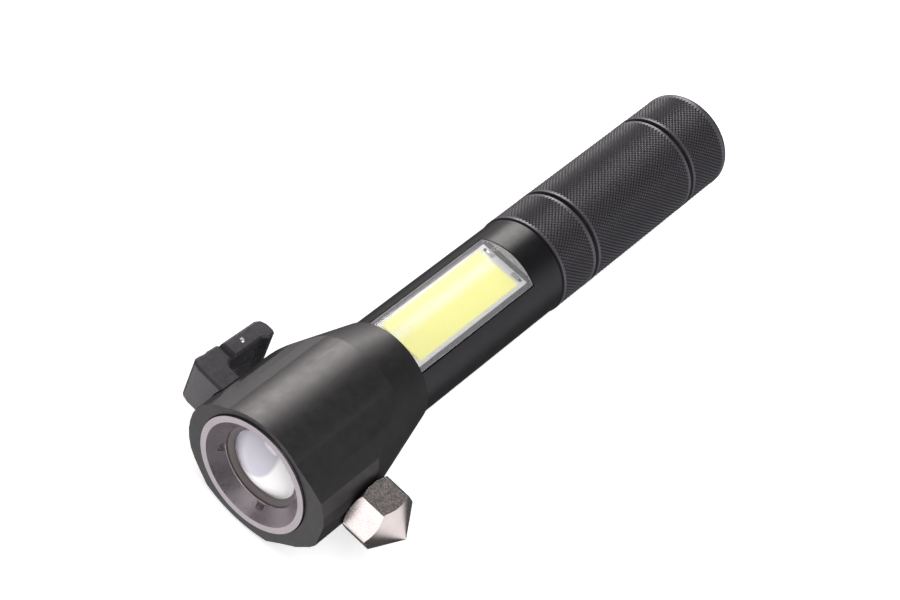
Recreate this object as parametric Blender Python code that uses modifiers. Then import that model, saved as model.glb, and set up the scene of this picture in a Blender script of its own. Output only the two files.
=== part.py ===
"""Emergency flashlight: zoom head, hammer bit, belt cutter, side light, battery tube and tail switch.

Metres, +Z up. The beam points along +X, the hammer along +Y and the side light faces +Z. The origin is under
the middle of the object, on the surface that the head rests on. A "station" is a distance behind the bezel's
front face, along the axis.
"""

import math

import bmesh
import bpy
from mathutils import Matrix, Vector

# Overall sizes, and where the flashlight's axis lies.
LENGTH = 0.1815
HEAD_RADIUS = 0.0182
HEAD_SOLE = 0.0193
SOLE_RADIUS = 0.0300
HAMMER_REACH = 0.0362
CUTTER_REACH = 0.0297
AXIS_Y = (CUTTER_REACH - HAMMER_REACH) / 2
AXIS_Z = HEAD_SOLE

# Clearances. FIT is left between pieces that touch, RUN between pieces that slide or turn on each other.
FIT = 0.0002
RUN = 0.0003

# Head: a round front, wings outside it, and a cone that trims everything down to the rear rim.
HEAD_FRONT = 0.0006
HEAD_REAR = 0.0484
RIM_RADIUS = 0.01475
CONE_SLOPE = 0.268
HAMMER_WING = 0.0222
CUTTER_WING = 0.0208
CAVITY_RADIUS = 0.01515
CAVITY_REAR = 0.0258
LENS_BORE = 0.0156
LENS_STEP = 0.01185

# Bezel and lens.
BEZEL_RADIUS = 0.01645
BEZEL_FLANGE = 0.0022
BEZEL_THREAD = 0.0154
BEZEL_LIP = 0.0147
BEZEL_REAR = 0.0086
BEZEL_BORE = 0.0118
FUNNEL_THROAT = 0.0113
FUNNEL_DEPTH = 0.0034
NOTCH_START = 20
NOTCH_RADIUS = 0.0122
RETAINER_SEAT = 0.00375
LENS_EDGE = 0.0094
LENS_APEX = 0.0016
LENS_DOME = 0.00345
LENS_FLANGE = 0.01135
FLANGE_FRONT = 0.0053
FLANGE_REAR = 0.0080
RETAINER_RADIUS = 0.0115
RETAINER_BORE = 0.0097

# Hammer bit, along +Y from its seat in the wing. Two of its six corners lie along the beam.
HEX_RADIUS = 0.0089
HEX_TURN = 30
SKIRT_RADIUS = 0.0110
SEAT_RADIUS = 0.0078
HAMMER_STATION = 0.0169
HAMMER_SEAT = HAMMER_WING + FIT
HAMMER_SHOULDER = 0.0301
STUD_RADIUS = 0.0030
STUD_END = 0.0166

# Belt cutter, along -Y.
CUTTER_HALF = 0.0073
CUTTER_FRONT = 0.0069
BLOCK_REAR = 0.0160
ARM_REAR = 0.0308
ARM_OUTER = 0.0286
ARM_INNER = 0.0239
BLADE_THICKNESS = 0.0006
PIN_STATION = 0.0220
PIN_REACH = 0.0263
PIN_RADIUS = 0.0007
THROAT_CENTRE = 0.0222
CUTTER_SCREW_STATION = 0.0114
CUTTER_SCREW_SIDE = 0.0043
CUTTER_SCREW_RADIUS = 0.00125
CUTTER_SCREW_HEAD = 0.0024
CUTTER_SCREW_TOP = 0.0292
CUTTER_SCREW_END = 0.0160

# Barrel, battery tube and tail cap.
BARREL_RADIUS = 0.0140
BARREL_BORE = 0.0124
BARREL_COLLAR = 0.0119
COLLAR_REAR = 0.0360
BARREL_FRONT = 0.0132
BARREL_REAR = 0.10475
KNURL_RADIUS = 0.0143
TUBE_FRONT = 0.1050
TUBE_BORE = 0.0097
SPIGOT_FRONT = 0.0980
SPIGOT_RADIUS = 0.0121
GROOVE_STATION = 0.1198
GROOVE_HALF = 0.0008
JOINT_CHAMFER = 0.0007
CAP_FRONT = 0.1640
THREAD_REAR = 0.1698
THREAD_RADIUS = 0.0127
CAP_BORE = 0.0109
CAP_WALL = 0.0017
TAIL_ROUND = 0.0020
BUTTON_HOLE = 0.0063

# Lamp: the aluminium pill that carries it, and how far its leads stand from the axis.
PILL_RADIUS = 0.0116
LEAD_SIDE = 0.0050

# Side light.
WINDOW_FRONT = 0.0410
WINDOW_REAR = 0.0943
WINDOW_HALF = 0.0094
BOARD_HALF = 0.0076
STRIP_HALF = 0.0067
STRIP_FRONT = 0.0508
STRIP_REAR = 0.0900
BOARD_FRONT = 0.0425
BOARD_REAR = 0.0930
COVER_FLOOR = 0.0101

# Battery.
CELL_RADIUS = 0.00915
CELL_FRONT = 0.10075
CELL_REAR = 0.1642

# Rubber cords and wires, as radii.
SEAL_CORD = 0.0006
TUBE_CORD = 0.00045
LAMP_WIRE = 0.0006
BOARD_WIRE = 0.0005

# Sides of a turned piece.
FINE = 48
MEDIUM = 24
SMALL = 16
PIN_SIDES = 12
LENS_STEPS = 40
CONE_STEPS = 80

COLOURS = {
    "black_satin": ((0.022, 0.022, 0.025), 0.38, 0.0),
    "black_anodised": ((0.018, 0.018, 0.020), 0.32, 0.6),
    "bezel_grey": ((0.42, 0.38, 0.39), 0.30, 0.9),
    "dark_ring": ((0.10, 0.09, 0.09), 0.45, 0.0),
    "nickel": ((0.72, 0.68, 0.66), 0.22, 1.0),
    "steel": ((0.55, 0.55, 0.57), 0.28, 1.0),
    "brass": ((0.74, 0.56, 0.24), 0.30, 1.0),
    "aluminium": ((0.66, 0.67, 0.69), 0.35, 1.0),
    "clear": ((0.90, 0.92, 0.95), 0.05, 0.0),
    "white": ((0.86, 0.86, 0.84), 0.50, 0.0),
    "phosphor": ((0.86, 0.84, 0.28), 0.60, 0.0),
    "rubber": ((0.015, 0.015, 0.015), 0.75, 0.0),
    "board_green": ((0.03, 0.16, 0.07), 0.45, 0.0),
    "wire_red": ((0.55, 0.03, 0.02), 0.45, 0.0),
    "wire_black": ((0.02, 0.02, 0.02), 0.50, 0.0),
    "cell_wrap": ((0.05, 0.20, 0.42), 0.35, 0.0),
}

ALONG_BEAM = Matrix.Rotation(math.pi / 2, 4, "Y")
TO_HAMMER = Matrix.Rotation(-math.pi / 2, 4, "X")
TO_CUTTER = Matrix.Rotation(math.pi / 2, 4, "X")
UPWARD = Matrix.Identity(4)
ACROSS = Matrix(((0, 0, 1, 0), (1, 0, 0, 0), (0, 1, 0, 0), (0, 0, 0, 1)))
ON_SIDE = Matrix(((1, 0, 0, 0), (0, -1, 0, 0), (0, 0, -1, 0), (0, 0, 0, 1)))


def clear_scene():
    for obj in list(bpy.data.objects):
        bpy.data.objects.remove(obj, do_unlink=True)


def new_collection(name):
    collection = bpy.data.collections.new(name)
    bpy.context.scene.collection.children.link(collection)
    return collection


def material(name):
    """A Principled material from the colour table, made once."""
    if name in bpy.data.materials:
        return bpy.data.materials[name]
    colour, roughness, metallic = COLOURS[name]
    made = bpy.data.materials.new(name)
    made.use_nodes = True
    shader = made.node_tree.nodes["Principled BSDF"]
    shader.inputs["Base Color"].default_value = (*colour, 1.0)
    shader.inputs["Roughness"].default_value = roughness
    shader.inputs["Metallic"].default_value = metallic
    return made


def station_point(station, side=0.0, up=0.0):
    """A world point from its station, its distance towards the hammer side and its height over the axis."""
    return Vector((LENGTH / 2 - station, AXIS_Y + side, AXIS_Z + up))


def finish(obj, finish_name):
    """Gives a piece its material, its smooth shading and its place in the flashlight's collection."""
    obj.data.materials.clear()
    obj.data.materials.append(material(finish_name))
    obj.data.shade_smooth()
    obj.data.set_sharp_from_angle(angle=math.radians(30))
    PARTS.objects.link(obj)
    return obj


def as_cutter(obj):
    obj.hide_render = True
    obj.display_type = "WIRE"
    CUTTERS.objects.link(obj)
    return obj


def boolean(obj, other, operation="DIFFERENCE"):
    """Cuts, joins or trims obj with a cutter object."""
    modifier = obj.modifiers.new(operation.title(), "BOOLEAN")
    modifier.operation = operation
    modifier.object = other
    return obj


def placed(name, mesh, origin, turn):
    obj = bpy.data.objects.new(name, mesh)
    obj.matrix_world = Matrix.Translation(origin) @ turn
    return obj


def turned(name, outline, steps=FINE, ring=True, origin=None, turn=ALONG_BEAM):
    """A turned piece, from (distance, radius) pairs down its outer side, and back up a ring's inner one.

    The distance runs against the piece's +Z, which the turn lays along the beam, the hammer or the cutter."""
    mesh = bpy.data.meshes.new(name)
    points = [(radius, 0.0, -distance) for distance, radius in outline]
    edges = [(i, i + 1) for i in range(len(points) - 1)]
    if ring:
        edges.append((len(points) - 1, 0))
    mesh.from_pydata(points, edges, [])
    obj = placed(name, mesh, station_point(0) if origin is None else origin, turn)
    screw = obj.modifiers.new("Turn", "SCREW")
    screw.axis = "Z"
    screw.steps = steps
    screw.render_steps = steps
    screw.use_merge_vertices = True
    screw.merge_threshold = 0.00001
    screw.use_smooth_shade = True
    return obj


def arc(centre, radius, start, end, count):
    """Points of an arc, from the start angle to the end angle in degrees."""
    points = []
    for i in range(count + 1):
        angle = math.radians(start + (end - start) * i / count)
        points.append((centre[0] + radius * math.cos(angle), centre[1] + radius * math.sin(angle)))
    return points


def cord_section(station, radius, cord):
    """The section of an O-ring, as six points that run down its outer side first."""
    return arc((station, radius), cord, 180, -120, 5)


def plate(name, outline, thickness, centre, turn):
    """A flat outline, extruded about its own plane by half the thickness each way."""
    curve = bpy.data.curves.new(name, "CURVE")
    curve.dimensions = "2D"
    curve.fill_mode = "BOTH"
    curve.extrude = thickness / 2
    spline = curve.splines.new("POLY")
    spline.points.add(len(outline) - 1)
    for point, (x, y) in zip(spline.points, outline):
        point.co = (x, y, 0.0, 1.0)
    spline.use_cyclic_u = True
    guide = placed(name + "_outline", curve, centre, turn)
    return as_mesh(guide, name)


def as_mesh(guide, name):
    """The curve object as a closed mesh object in the same place; the curve is removed."""
    bpy.context.scene.collection.objects.link(guide)
    bpy.context.view_layer.update()
    evaluated = guide.evaluated_get(bpy.context.evaluated_depsgraph_get())
    mesh = bpy.data.meshes.new_from_object(evaluated)
    mesh.name = name
    soup = bmesh.new()
    soup.from_mesh(mesh)
    bmesh.ops.remove_doubles(soup, verts=soup.verts, dist=0.000001)
    bmesh.ops.dissolve_limit(soup, angle_limit=0.001, verts=soup.verts, edges=soup.edges)
    bmesh.ops.recalc_face_normals(soup, faces=soup.faces)
    if soup.calc_volume(signed=True) < 0:
        bmesh.ops.reverse_faces(soup, faces=soup.faces)
    soup.to_mesh(mesh)
    soup.free()
    obj = bpy.data.objects.new(name, mesh)
    obj.matrix_world = guide.matrix_world.copy()
    bpy.data.objects.remove(guide)
    return obj


def block(name, size, centre):
    """A box of the given size about its centre, with its scale in the mesh."""
    mesh = bpy.data.meshes.new(name)
    shape = bmesh.new()
    bmesh.ops.create_cube(shape, size=1.0)
    bmesh.ops.scale(shape, vec=Vector(size), verts=shape.verts)
    shape.to_mesh(mesh)
    shape.free()
    return placed(name, mesh, centre, UPWARD)


def softened(obj, width, segments=2):
    bevel = obj.modifiers.new("Edge", "BEVEL")
    bevel.width = width
    bevel.segments = segments
    bevel.limit_method = "ANGLE"
    bevel.angle_limit = math.radians(50)
    return obj


def wire(name, route, radius, sides=2):
    """A round wire through the route's points, as a curve with filled caps."""
    curve = bpy.data.curves.new(name, "CURVE")
    curve.dimensions = "3D"
    curve.bevel_depth = radius
    curve.bevel_resolution = sides
    curve.use_fill_caps = True
    spline = curve.splines.new("POLY")
    spline.points.add(len(route) - 1)
    for point, place in zip(spline.points, route):
        point.co = (*place, 1.0)
    return bpy.data.objects.new(name, curve)


def smooth_route(knots, pieces):
    """Points of a smooth curve through the knots."""
    route = []
    for i in range(len(knots) - 1):
        before, start = knots[max(i - 1, 0)], knots[i]
        end, after = knots[i + 1], knots[min(i + 2, len(knots) - 1)]
        for k in range(pieces):
            t = k / pieces
            route.append(0.5 * (2 * start + (end - before) * t
                                + (2 * before - 5 * start + 4 * end - after) * t * t
                                + (3 * start - before - 3 * end + after) * t ** 3))
    route.append(knots[-1])
    return route


def coil_route(front, rear, front_radius, rear_radius, turns, per_turn=10):
    """The centre line of a coil spring with flat-lying end turns."""
    count = int(turns * per_turn)
    route = []
    for i in range(count + 1):
        share = i / count
        lift = min(max((share * turns - 0.75) / (turns - 1.5), 0.0), 1.0)
        radius = front_radius + (rear_radius - front_radius) * share
        angle = 2 * math.pi * i / per_turn
        station = front + (rear - front) * lift
        route.append(station_point(station, radius * math.cos(angle), radius * math.sin(angle)))
    return route


def head_outline(grow=0.0):
    """Section of the head across the beam: round top, faceted hammer wing, flat sole, rounder cutter wing."""
    outline = [
        (HAMMER_WING + grow, 0.0040),
        (0.0213 + grow, 0.0069),
        (0.0192 + grow, 0.0108 + grow),
        (0.0150 + grow, 0.0131 + grow),
    ]
    outline += arc((0, 0), HEAD_RADIUS + grow, 57, 135, 13)
    outline += [
        (-0.0152 - grow, 0.0113 + grow),
        (-0.0174 - grow, 0.0094),
        (-0.0193 - grow, 0.0066),
        (-0.0203 - grow, 0.0042),
        (-CUTTER_WING - grow, 0.0015),
        (-CUTTER_WING - grow, -0.0015),
        (-0.0204 - grow, -0.0044),
        (-0.0195 - grow, -0.0073),
        (-0.0180 - grow, -0.0102),
        (-0.0160 - grow, -0.0125 - grow),
        (-0.0136 - grow, -0.0147 - grow),
    ]
    outline += arc((0, SOLE_RADIUS - HEAD_SOLE), SOLE_RADIUS + grow, 250, 290, 6)
    outline += [
        (0.0137 + grow, -0.0141 - grow),
        (0.0179 + grow, -0.0103 - grow),
        (0.0212 + grow, -0.0060),
        (HAMMER_WING + grow, -0.0040),
    ]
    return outline


def section_plate(name, outline, front, rear):
    """An outline in the plane across the beam, (towards the hammer, up), extruded between two stations."""
    return plate(name, outline, rear - front, station_point((front + rear) / 2), ACROSS)


def head_shell():
    body = section_plate("head_shell", head_outline(), HEAD_FRONT, HEAD_REAR)
    softened(body, 0.0005, 2)
    widest = 0.0250
    station = HEAD_REAR - (widest - RIM_RADIUS) / CONE_SLOPE
    envelope = turned("head_envelope", [
        (-0.001, 0.0), (-0.001, widest), (station, widest), (HEAD_REAR, RIM_RADIUS), (HEAD_REAR, 0.0),
    ], CONE_STEPS, ring=False)
    boolean(body, as_cutter(envelope), "INTERSECT")
    bore = turned("head_bore", [
        (-0.001, 0.0), (-0.001, BEZEL_RADIUS + FIT), (BEZEL_FLANGE + FIT, BEZEL_RADIUS + FIT),
        (BEZEL_FLANGE + FIT, LENS_BORE), (LENS_STEP, LENS_BORE), (LENS_STEP, CAVITY_RADIUS),
        (CAVITY_REAR, CAVITY_RADIUS), (CAVITY_REAR, BARREL_RADIUS + RUN),
        (HEAD_REAR + 0.001, BARREL_RADIUS + RUN), (HEAD_REAR + 0.001, 0.0),
    ], FINE, ring=False)
    boolean(body, as_cutter(bore))
    stud_hole = turned("stud_hole", [
        (-0.0290, 0.0), (-0.0290, STUD_RADIUS + FIT), (-STUD_END + FIT, STUD_RADIUS + FIT),
        (-STUD_END + FIT, 0.0),
    ], SMALL, ring=False, origin=station_point(HAMMER_STATION), turn=TO_HAMMER)
    boolean(body, as_cutter(stud_hole))
    shank, bottom = CUTTER_SCREW_RADIUS + FIT, CUTTER_SCREW_END - RUN
    for number, up in ((1, CUTTER_SCREW_SIDE), (2, -CUTTER_SCREW_SIDE)):
        hole = turned(f"cutter_screw_hole_{number}", [
            (-0.0230, 0.0), (-0.0230, shank), (-bottom, shank), (-bottom, 0.0),
        ], SMALL, ring=False, origin=station_point(CUTTER_SCREW_STATION, 0.0, up), turn=TO_CUTTER)
        boolean(body, as_cutter(hole))
    return finish(body, "black_satin")


def bezel_ring():
    lip = arc((0.0004, BEZEL_RADIUS - 0.0004), 0.0004, 180, 90, 3)
    ring = turned("bezel_ring", lip + [
        (BEZEL_FLANGE, BEZEL_RADIUS), (BEZEL_FLANGE, BEZEL_THREAD), (BEZEL_REAR, BEZEL_THREAD),
        (BEZEL_REAR, BEZEL_BORE), (RETAINER_SEAT, BEZEL_BORE), (RETAINER_SEAT, FUNNEL_THROAT),
        (FUNNEL_DEPTH, FUNNEL_THROAT), (0.0005, 0.0143),
        (0.0, BEZEL_LIP),
    ])
    for number in range(4):
        angle = math.radians(NOTCH_START + 90 * number)
        notch = block(f"bezel_notch_{number + 1}", (0.0012, 0.0020, 0.0020), Vector())
        place = station_point(0.0027, NOTCH_RADIUS * math.cos(angle), NOTCH_RADIUS * math.sin(angle))
        notch.matrix_world = Matrix.Translation(place) @ Matrix.Rotation(angle, 4, "X")
        boolean(ring, as_cutter(notch))
    return finish(ring, "bezel_grey")


def lens():
    ball = (LENS_EDGE ** 2 + LENS_DOME ** 2) / (2 * LENS_DOME)
    sweep = math.degrees(math.asin(LENS_EDGE / ball))
    dome = arc((LENS_APEX + ball, 0.0), ball, 180, 180 - sweep, 7)
    dome[0] = (LENS_APEX, 0.0)
    flange = [
        (FLANGE_FRONT, LENS_EDGE), (FLANGE_FRONT, LENS_FLANGE), (FLANGE_REAR, LENS_FLANGE),
        (FLANGE_REAR, 0.0),
    ]
    return finish(turned("lens", dome + flange, LENS_STEPS, ring=False), "clear")


def lens_rings():
    front, rear = RETAINER_SEAT + FIT, FLANGE_FRONT - FIT
    retainer = turned("lens_retainer", [
        (front, RETAINER_RADIUS), (rear, RETAINER_RADIUS), (rear, RETAINER_BORE),
        (rear - 0.00035, RETAINER_BORE), (front, RETAINER_RADIUS - 0.0004),
    ], LENS_STEPS)
    finish(retainer, "dark_ring")
    finish(turned("lens_seal", cord_section(0.00875, 0.0106, SEAL_CORD), MEDIUM), "rubber")
    seat_radius, seat_bore = LENS_BORE - FIT - 0.00005, 0.0098
    seat = turned("lens_seat", [
        (0.0095, seat_radius), (0.0117, seat_radius), (0.0117, seat_bore), (0.0095, seat_bore),
    ], MEDIUM)
    finish(seat, "black_satin")


def hex_prism(name, radius, low, high):
    """A hexagonal bar along +Y, with two of its corners along the beam."""
    mesh = bpy.data.meshes.new(name)
    shape = bmesh.new()
    bmesh.ops.create_cone(shape, cap_ends=True, segments=6, radius1=radius, radius2=radius, depth=high - low)
    bmesh.ops.rotate(shape, matrix=Matrix.Rotation(math.radians(HEX_TURN), 3, "Z"), verts=shape.verts)
    bmesh.ops.translate(shape, vec=Vector((0, 0, (low + high) / 2)), verts=shape.verts)
    shape.to_mesh(mesh)
    shape.free()
    return placed(name, mesh, station_point(HAMMER_STATION), TO_HAMMER)


def hammer_bit():
    """A hexagonal bar, chamfered at its seat and turned to a point, with a stud that goes into the wing."""
    bit = hex_prism("hammer_bit", HEX_RADIUS, HAMMER_SEAT - 0.002, HAMMER_REACH + 0.002)
    softened(bit, 0.0003, 1)
    slope = HEX_RADIUS / (HAMMER_REACH - HAMMER_SHOULDER)
    base = (SKIRT_RADIUS - SEAT_RADIUS) * 0.8
    cone = turned("hammer_cone", [
        (-HAMMER_REACH, 0.0), (-HAMMER_REACH + SKIRT_RADIUS / slope, SKIRT_RADIUS),
        (-HAMMER_SEAT - base, SKIRT_RADIUS), (-HAMMER_SEAT, SEAT_RADIUS), (-HAMMER_SEAT, 0.0),
    ], FINE, ring=False, origin=station_point(HAMMER_STATION), turn=TO_HAMMER)
    boolean(bit, as_cutter(cone), "INTERSECT")
    stud = turned("hammer_stud", [
        (-HAMMER_SEAT - 0.001, 0.0), (-HAMMER_SEAT - 0.001, STUD_RADIUS), (-STUD_END - 0.0005, STUD_RADIUS),
        (-STUD_END, STUD_RADIUS - 0.0005), (-STUD_END, 0.0),
    ], SMALL, ring=False, origin=station_point(HAMMER_STATION), turn=TO_HAMMER)
    boolean(bit, as_cutter(stud), "UNION")
    return finish(bit, "nickel")


def cutter_outline():
    """Side of the hook, as (towards the beam, outwards): block, arm, lipped rear end and round throat."""
    front = LENGTH / 2 - CUTTER_FRONT
    step = LENGTH / 2 - BLOCK_REAR
    rear = LENGTH / 2 - ARM_REAR
    throat = step + 0.0004
    round_off = ARM_INNER - THROAT_CENTRE
    outline = [(front, 0.0178), (front - 0.0002, 0.0268), (front - 0.0008, CUTTER_REACH - 0.0006),
               (front - 0.0020, CUTTER_REACH)]
    outline += [(step + 0.0004, CUTTER_REACH - 0.0004), (step - 0.0008, ARM_OUTER + 0.0003)]
    outline += [(rear + 0.0020, ARM_OUTER), (rear + 0.0006, ARM_OUTER - 0.0008), (rear, ARM_OUTER - 0.0024)]
    outline += [(rear, 0.0236), (rear + 0.0008, 0.0228), (rear + 0.0026, 0.0228), (rear + 0.0040, ARM_INNER)]
    outline += arc((throat, THROAT_CENTRE), round_off, 90, 0, 4)
    outline += [(throat + round_off, 0.0178)]
    return list(reversed(outline))


def cutter_frame():
    frame = plate("cutter_frame", cutter_outline(), 2 * CUTTER_HALF, Vector((0.0, AXIS_Y, AXIS_Z)), ON_SIDE)
    softened(frame, 0.0010, 2)
    seat = section_plate("cutter_seat", head_outline(0.0003), 0.0, HEAD_REAR)
    boolean(frame, as_cutter(seat))
    slit = block("blade_slit", (0.0140, 0.0068, BLADE_THICKNESS + 2 * FIT), station_point(0.0179, -0.0244))
    boolean(frame, as_cutter(slit))
    for number, up in ((1, CUTTER_SCREW_SIDE), (2, -CUTTER_SCREW_SIDE)):
        hole = turned(f"cutter_head_hole_{number}", [
            (-0.0310, 0.0), (-0.0310, 0.0025 + FIT), (-0.0288, 0.0025 + FIT),
            (-0.0275, CUTTER_SCREW_RADIUS + FIT), (-0.0190, CUTTER_SCREW_RADIUS + FIT), (-0.0190, 0.0),
        ], SMALL, ring=False, origin=station_point(CUTTER_SCREW_STATION, 0.0, up), turn=TO_CUTTER)
        boolean(frame, as_cutter(hole))
    pin_hole = pin_cylinder("pin_hole", [(-0.0100, PIN_RADIUS + FIT), (0.0060, PIN_RADIUS + FIT)])
    boolean(frame, as_cutter(pin_hole))
    return finish(frame, "black_satin")


def pin_cylinder(name, outline):
    """A turned piece on the blade pin's axis, running downwards, closed at both ends."""
    closed = [(outline[0][0], 0.0), *outline, (outline[-1][0], 0.0)]
    origin = station_point(PIN_STATION, -PIN_REACH, 0.0)
    return turned(name, closed, PIN_SIDES, ring=False, origin=origin, turn=UPWARD)


def cutter_blade():
    """A thin blade that crosses the slot's throat at a slant and reaches back into the arm."""
    x = LENGTH / 2
    outline = [(x - 0.0118, 0.0213), (x - 0.0238, 0.0250), (x - 0.0238, 0.0272), (x - 0.0118, 0.0272)]
    blade = plate("cutter_blade", outline, BLADE_THICKNESS, Vector((0.0, AXIS_Y, AXIS_Z)), ON_SIDE)
    blade_hole = pin_cylinder("blade_hole", [(-0.0030, PIN_RADIUS + FIT), (0.0030, PIN_RADIUS + FIT)])
    boolean(blade, as_cutter(blade_hole))
    finish(blade, "steel")
    pin = pin_cylinder("blade_pin", [
        (-CUTTER_HALF - 0.0002, PIN_RADIUS - 0.0002), (-CUTTER_HALF, PIN_RADIUS), (0.0056, PIN_RADIUS),
    ])
    finish(pin, "steel")


def cutter_screws():
    for number, up in ((1, CUTTER_SCREW_SIDE), (2, -CUTTER_SCREW_SIDE)):
        screw = turned(f"cutter_screw_{number}", [
            (-CUTTER_SCREW_TOP, 0.0), (-CUTTER_SCREW_TOP, CUTTER_SCREW_HEAD),
            (-CUTTER_SCREW_TOP + 0.0004, CUTTER_SCREW_HEAD),
            (-CUTTER_SCREW_TOP + 0.0016, CUTTER_SCREW_RADIUS), (-CUTTER_SCREW_END, CUTTER_SCREW_RADIUS),
            (-CUTTER_SCREW_END, 0.0),
        ], SMALL, ring=False, origin=station_point(CUTTER_SCREW_STATION, 0.0, up), turn=TO_CUTTER)
        socket = hex_socket(f"cutter_socket_{number}", up)
        boolean(screw, as_cutter(socket))
        finish(screw, "steel")


def hex_socket(name, up):
    """The hexagonal drive recess in a cutter screw's head."""
    mesh = bpy.data.meshes.new(name)
    shape = bmesh.new()
    bmesh.ops.create_cone(shape, cap_ends=True, segments=6, radius1=0.00085, radius2=0.00085, depth=0.0024)
    bmesh.ops.translate(shape, vec=Vector((0, 0, CUTTER_SCREW_TOP)), verts=shape.verts)
    shape.to_mesh(mesh)
    shape.free()
    return placed(name, mesh, station_point(CUTTER_SCREW_STATION, 0.0, up), TO_CUTTER)


def front_barrel():
    tube = turned("front_barrel", [
        (BARREL_FRONT, 0.0136), (BARREL_FRONT + 0.0004, BARREL_RADIUS), (0.0162, BARREL_RADIUS),
        (0.0162, 0.0132), (0.0174, 0.0132), (0.0174, BARREL_RADIUS), (0.0296, BARREL_RADIUS),
        (0.0296, 0.0128), (0.0314, 0.0128), (0.0314, BARREL_RADIUS), (BARREL_REAR - 0.0003, BARREL_RADIUS),
        (BARREL_REAR, BARREL_RADIUS - 0.0003), (BARREL_REAR, BARREL_BORE), (COLLAR_REAR, BARREL_BORE),
        (COLLAR_REAR, BARREL_COLLAR),
        (BARREL_FRONT, BARREL_COLLAR),
    ])
    window = block("window_opening", (WINDOW_REAR - WINDOW_FRONT, 2 * WINDOW_HALF, 0.0200),
                   station_point((WINDOW_FRONT + WINDOW_REAR) / 2, 0.0, 0.0120))
    boolean(tube, as_cutter(window))
    return finish(tube, "black_anodised")


def zoom_rings():
    stop = turned("stop_ring", [
        (0.0163, 0.0148), (0.0173, 0.0148), (0.0173, 0.0134), (0.0163, 0.0134),
    ], MEDIUM)
    finish(stop, "steel")
    finish(turned("focus_oring", cord_section(0.0305, 0.01355, SEAL_CORD), FINE), "rubber")


def led_group():
    pill = turned("led_pill", [
        (0.0160, 0.0), (0.0160, PILL_RADIUS), (0.0270, PILL_RADIUS), (0.0270, 0.0090), (0.0200, 0.0090),
        (0.0200, 0.0),
    ], MEDIUM, ring=False)
    for name, side in (("pill_hole_red", LEAD_SIDE), ("pill_hole_black", -LEAD_SIDE)):
        hole = turned(name, [(0.0140, 0.0), (0.0140, 0.0010), (0.0220, 0.0010), (0.0220, 0.0)], PIN_SIDES,
                      ring=False, origin=station_point(0.0, side))
        boolean(pill, as_cutter(hole))
    finish(pill, "aluminium")
    board = turned("led_board", [(0.0144, 0.0), (0.0144, 0.0080), (0.0158, 0.0080), (0.0158, 0.0)], MEDIUM,
                   ring=False)
    finish(board, "white")
    holder = turned("led_holder", [
        (0.0129, 0.0070), (0.0133, 0.0074), (0.0142, 0.0074), (0.0142, 0.0039), (0.0135, 0.0039),
        (0.0129, 0.0045),
    ], MEDIUM)
    finish(holder, "white")
    emitter = block("led_emitter", (0.0009, 0.0050, 0.0050), station_point(0.01370))
    curve = arc((0.0138, 0.0), 0.0020, 140, 95, 4)
    dome = turned("emitter_dome", [(0.0122, 0.0), *curve, (0.0139, 0.0021), (0.0139, 0.0)], SMALL,
                  ring=False)
    boolean(emitter, as_cutter(dome), "UNION")
    finish(emitter, "phosphor")


def side_light():
    """The clear cover, flush with the barrel and hollow underneath, with its tray, board and phosphor."""
    front, rear = WINDOW_FRONT + RUN, WINDOW_REAR - RUN
    edge = WINDOW_HALF - RUN
    reach = math.degrees(math.asin(edge / BARREL_RADIUS))
    crown = arc((0, 0), BARREL_RADIUS, 90 - reach, 90 + reach, 16)
    recess = [(-0.0079, COVER_FLOOR), (-0.0079, 0.01115), (-0.0069, 0.01165), (0.0069, 0.01165),
              (0.0079, 0.01115), (0.0079, COVER_FLOOR)]
    cover = [*crown, (-edge, COVER_FLOOR), *recess, (edge, COVER_FLOOR)]
    finish(section_plate("cob_window", cover, front, rear), "clear")
    tray = block("cob_tray", (rear - front, 2 * edge - 0.0001, 0.0010),
                 station_point((front + rear) / 2, 0.0, 0.0094))
    finish(softened(tray, 0.0002, 1), "white")
    board = block("cob_board", (BOARD_REAR - BOARD_FRONT, 2 * BOARD_HALF, 0.0009),
                  station_point((BOARD_FRONT + BOARD_REAR) / 2, 0.0, 0.0105))
    finish(board, "white")
    strip = block("cob_phosphor", (STRIP_REAR - STRIP_FRONT, 2 * STRIP_HALF, 0.0004),
                  station_point((STRIP_FRONT + STRIP_REAR) / 2, 0.0, 0.0113))
    finish(softened(strip, 0.0001, 1), "phosphor")


def wires():
    """Two leads from the lamp to the driver board, and two from the side light's board."""
    for colour, side in (("red", LEAD_SIDE), ("black", -LEAD_SIDE)):
        lamp = [
            station_point(0.0161, side), station_point(0.0215, side), station_point(0.030, side, -0.001),
            station_point(0.045, side * 0.6, -0.004), station_point(0.062, side * 0.9, -0.0065),
            station_point(0.080, side * 0.6, -0.004), station_point(0.090, side, -0.001),
            station_point(0.0951, side),
        ]
        finish_wire(wire(f"led_wire_{colour}", smooth_route(lamp, 2), LAMP_WIRE), f"wire_{colour}")
        board = [
            station_point(0.0850, side, 0.0082), station_point(0.0885, side, 0.0076),
            station_point(0.0915, side, 0.0062), station_point(0.0951, side, 0.0050),
        ]
        finish_wire(wire(f"cob_wire_{colour}", smooth_route(board, 2), BOARD_WIRE), f"wire_{colour}")


def finish_wire(obj, finish_name):
    obj.data.materials.append(material(finish_name))
    PARTS.objects.link(obj)


def driver_group():
    board = turned("driver_board", [
        (0.0953, 0.0), (0.0953, 0.0120), (0.0969, 0.0120), (0.0969, 0.0),
    ], MEDIUM, ring=False)
    finish(board, "board_green")
    finish_wire(wire("front_contact", coil_route(0.0974, 0.0988, 0.0036, 0.0018, 3), 0.0003), "brass")


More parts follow.
